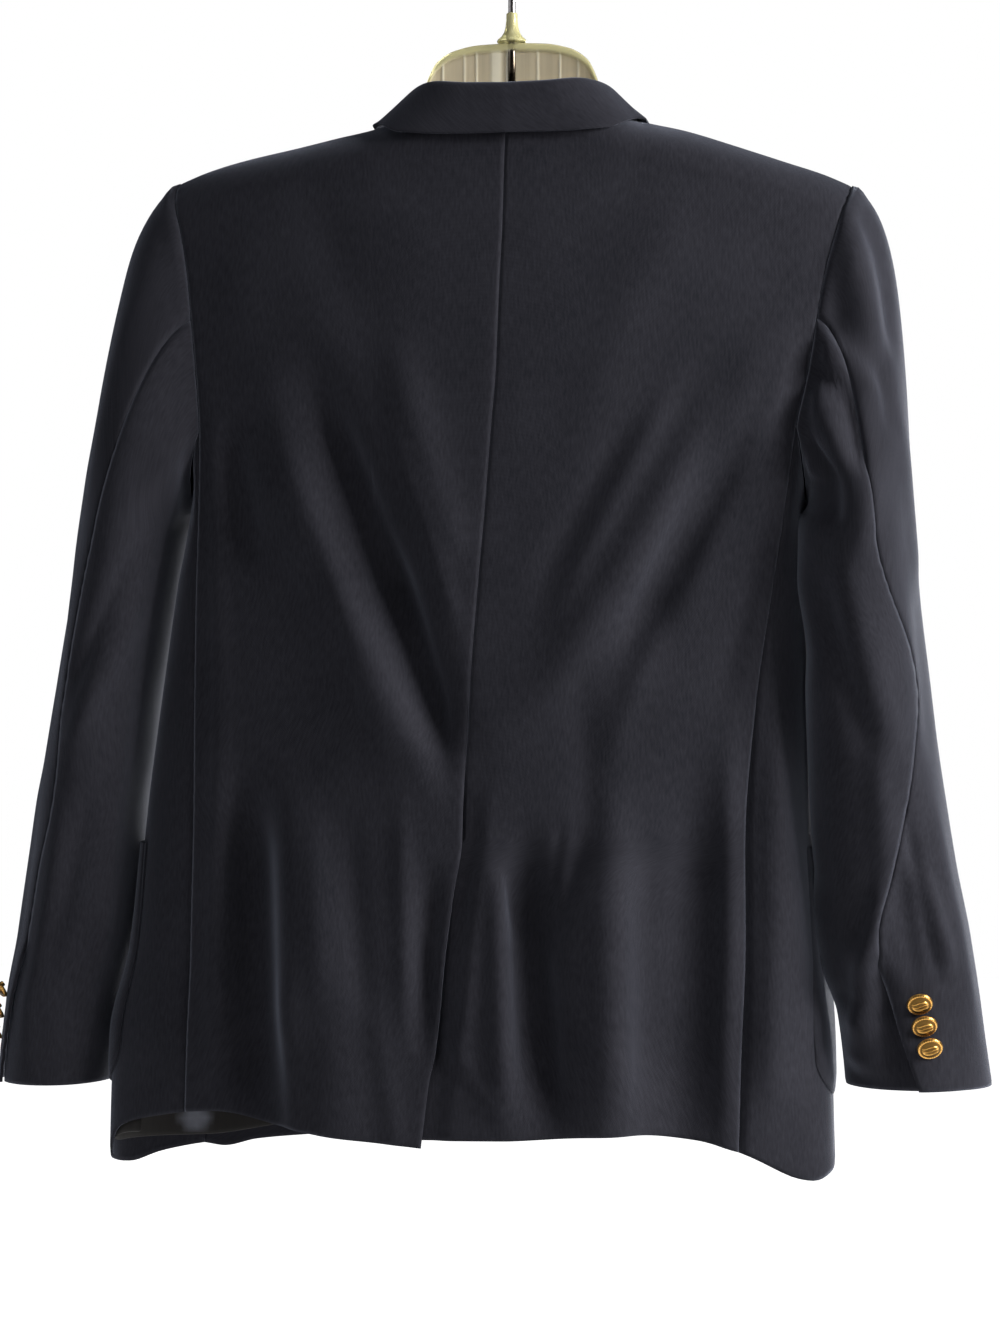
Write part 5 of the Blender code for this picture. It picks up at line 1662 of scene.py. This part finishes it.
class BLAZER_OT_stage(Operator):
    """Plain pale floor, soft lights and the camera"""
    bl_idname = "blazer.stage"
    bl_label = "Stage"

    def execute(self, context):
        stage = context.scene.blazer_stage
        floor = bmesh.new()
        bmesh.ops.create_grid(floor, x_segments=8, y_segments=8, size=FLOOR_HALF)
        bmesh.ops.translate(floor, vec=(0.0, 0.0, -stage.floor_drop), verts=floor.verts)
        made, nodes, links, shader = new_finish("pale floor")
        place = nodes.new("ShaderNodeTexCoord")
        mottle = nodes.new("ShaderNodeTexNoise")
        mottle.inputs["Scale"].default_value = 3.0
        links.new(place.outputs["Object"], mottle.inputs["Vector"])
        tones = nodes.new("ShaderNodeValToRGB")
        tones.color_ramp.elements[0].color = (0.90, 0.90, 0.90, 1.0)
        tones.color_ramp.elements[1].color = (0.94, 0.94, 0.94, 1.0)
        links.new(mottle.outputs["Fac"], tones.inputs["Fac"])
        links.new(tones.outputs["Color"], shader.inputs["Base Color"])
        shader.inputs["Roughness"].default_value = 0.9
        shader.inputs["Specular IOR Level"].default_value = 0.1
        shader.inputs["Emission Color"].default_value = (1.0, 1.0, 1.0, 1.0)
        glow = seen_share(nodes, links, ROOM_LIGHT, SEEN_WHITE)
        links.new(glow, shader.inputs["Emission Strength"])
        finished_mesh("pale_floor", floor, made)

        world = context.scene.world or bpy.data.worlds.new("soft room")
        context.scene.world = world
        world.use_nodes = True
        sky = world.node_tree.nodes["Background"]
        sky.inputs["Color"].default_value = (1.0, 1.0, 1.0, 1.0)
        nodes, links = world.node_tree.nodes, world.node_tree.links
        links.new(seen_share(nodes, links, ROOM_LIGHT, SEEN_WHITE), sky.inputs["Strength"])
        for name, place, aim, size, power, colour in (
            ("key", (-2.3, 0.62, 0.35), COAT_MIDDLE, 1.0, stage.key_power, WARM_WHITE),
            ("fill", (2.2, 1.0, 0.2), COAT_MIDDLE, 1.8, stage.fill_power, COOL_WHITE),
            ("top", (-0.2, 0.9, 1.5), COAT_CHEST, 1.2, 0.5 * stage.fill_power, PLAIN_WHITE),
            ("front", (-0.9, -2.4, -0.45), COAT_MIDDLE, 1.6, FRONT_POWER, PLAIN_WHITE),
        ):
            light = bpy.data.lights.new(name, "AREA")
            light.shape = "SQUARE"
            light.size = size
            light.energy = power
            light.color = colour
            lamp = bpy.data.objects.new(name, light)
            lamp.location = place
            lamp.rotation_euler = aimed(place, aim)
            context.scene.collection.objects.link(lamp)

        lens = bpy.data.cameras.new("view from behind")
        lens.sensor_fit = "VERTICAL"
        lens.sensor_height = 36.0
        lens.lens = CAMERA_LENS
        camera = bpy.data.objects.new("view from behind", lens)
        camera.location = CAMERA_PLACE
        camera.rotation_euler = aimed(CAMERA_PLACE, CAMERA_AIM)
        context.scene.collection.objects.link(camera)
        context.scene.camera = camera
        context.scene.view_settings.view_transform = "Standard"
        return {"FINISHED"}


class BLAZER_PT_panel(Panel):
    """Lists the blazer's sizes, colours and building steps"""
    bl_label = "Blazer"
    bl_idname = "BLAZER_PT_panel"
    bl_space_type = "VIEW_3D"
    bl_region_type = "UI"
    bl_category = "Blazer"

    def draw(self, context):
        for group in SETTINGS:
            box = self.layout.box()
            settings = getattr(context.scene, group)
            for key in settings.__annotations__:
                box.prop(settings, key)
        for step in STEPS:
            self.layout.operator(step.bl_idname)


SETTINGS = {
    "blazer_cloth": ClothSettings,
    "blazer_trim": TrimSettings,
    "blazer_hanger": HangerSettings,
    "blazer_stage": StageSettings,
}
STEPS = (
    BLAZER_OT_body,
    BLAZER_OT_sleeves,
    BLAZER_OT_collar,
    BLAZER_OT_pockets,
    BLAZER_OT_buttons,
    BLAZER_OT_hanger,
    BLAZER_OT_stage,
)


def register():
    for entry in (*SETTINGS.values(), *STEPS, BLAZER_PT_panel):
        bpy.utils.register_class(entry)
    for key, group in SETTINGS.items():
        setattr(bpy.types.Scene, key, PointerProperty(type=group))


def unregister():
    for key in SETTINGS:
        delattr(bpy.types.Scene, key)
    for entry in reversed((*SETTINGS.values(), *STEPS, BLAZER_PT_panel)):
        bpy.utils.unregister_class(entry)


def main():
    register()
    bpy.ops.blazer.body()
    bpy.ops.blazer.sleeves()
    bpy.ops.blazer.collar()
    bpy.ops.blazer.pockets()
    bpy.ops.blazer.buttons()
    bpy.ops.blazer.hanger()
    bpy.ops.blazer.stage()


if __name__ == "__main__":
    main()
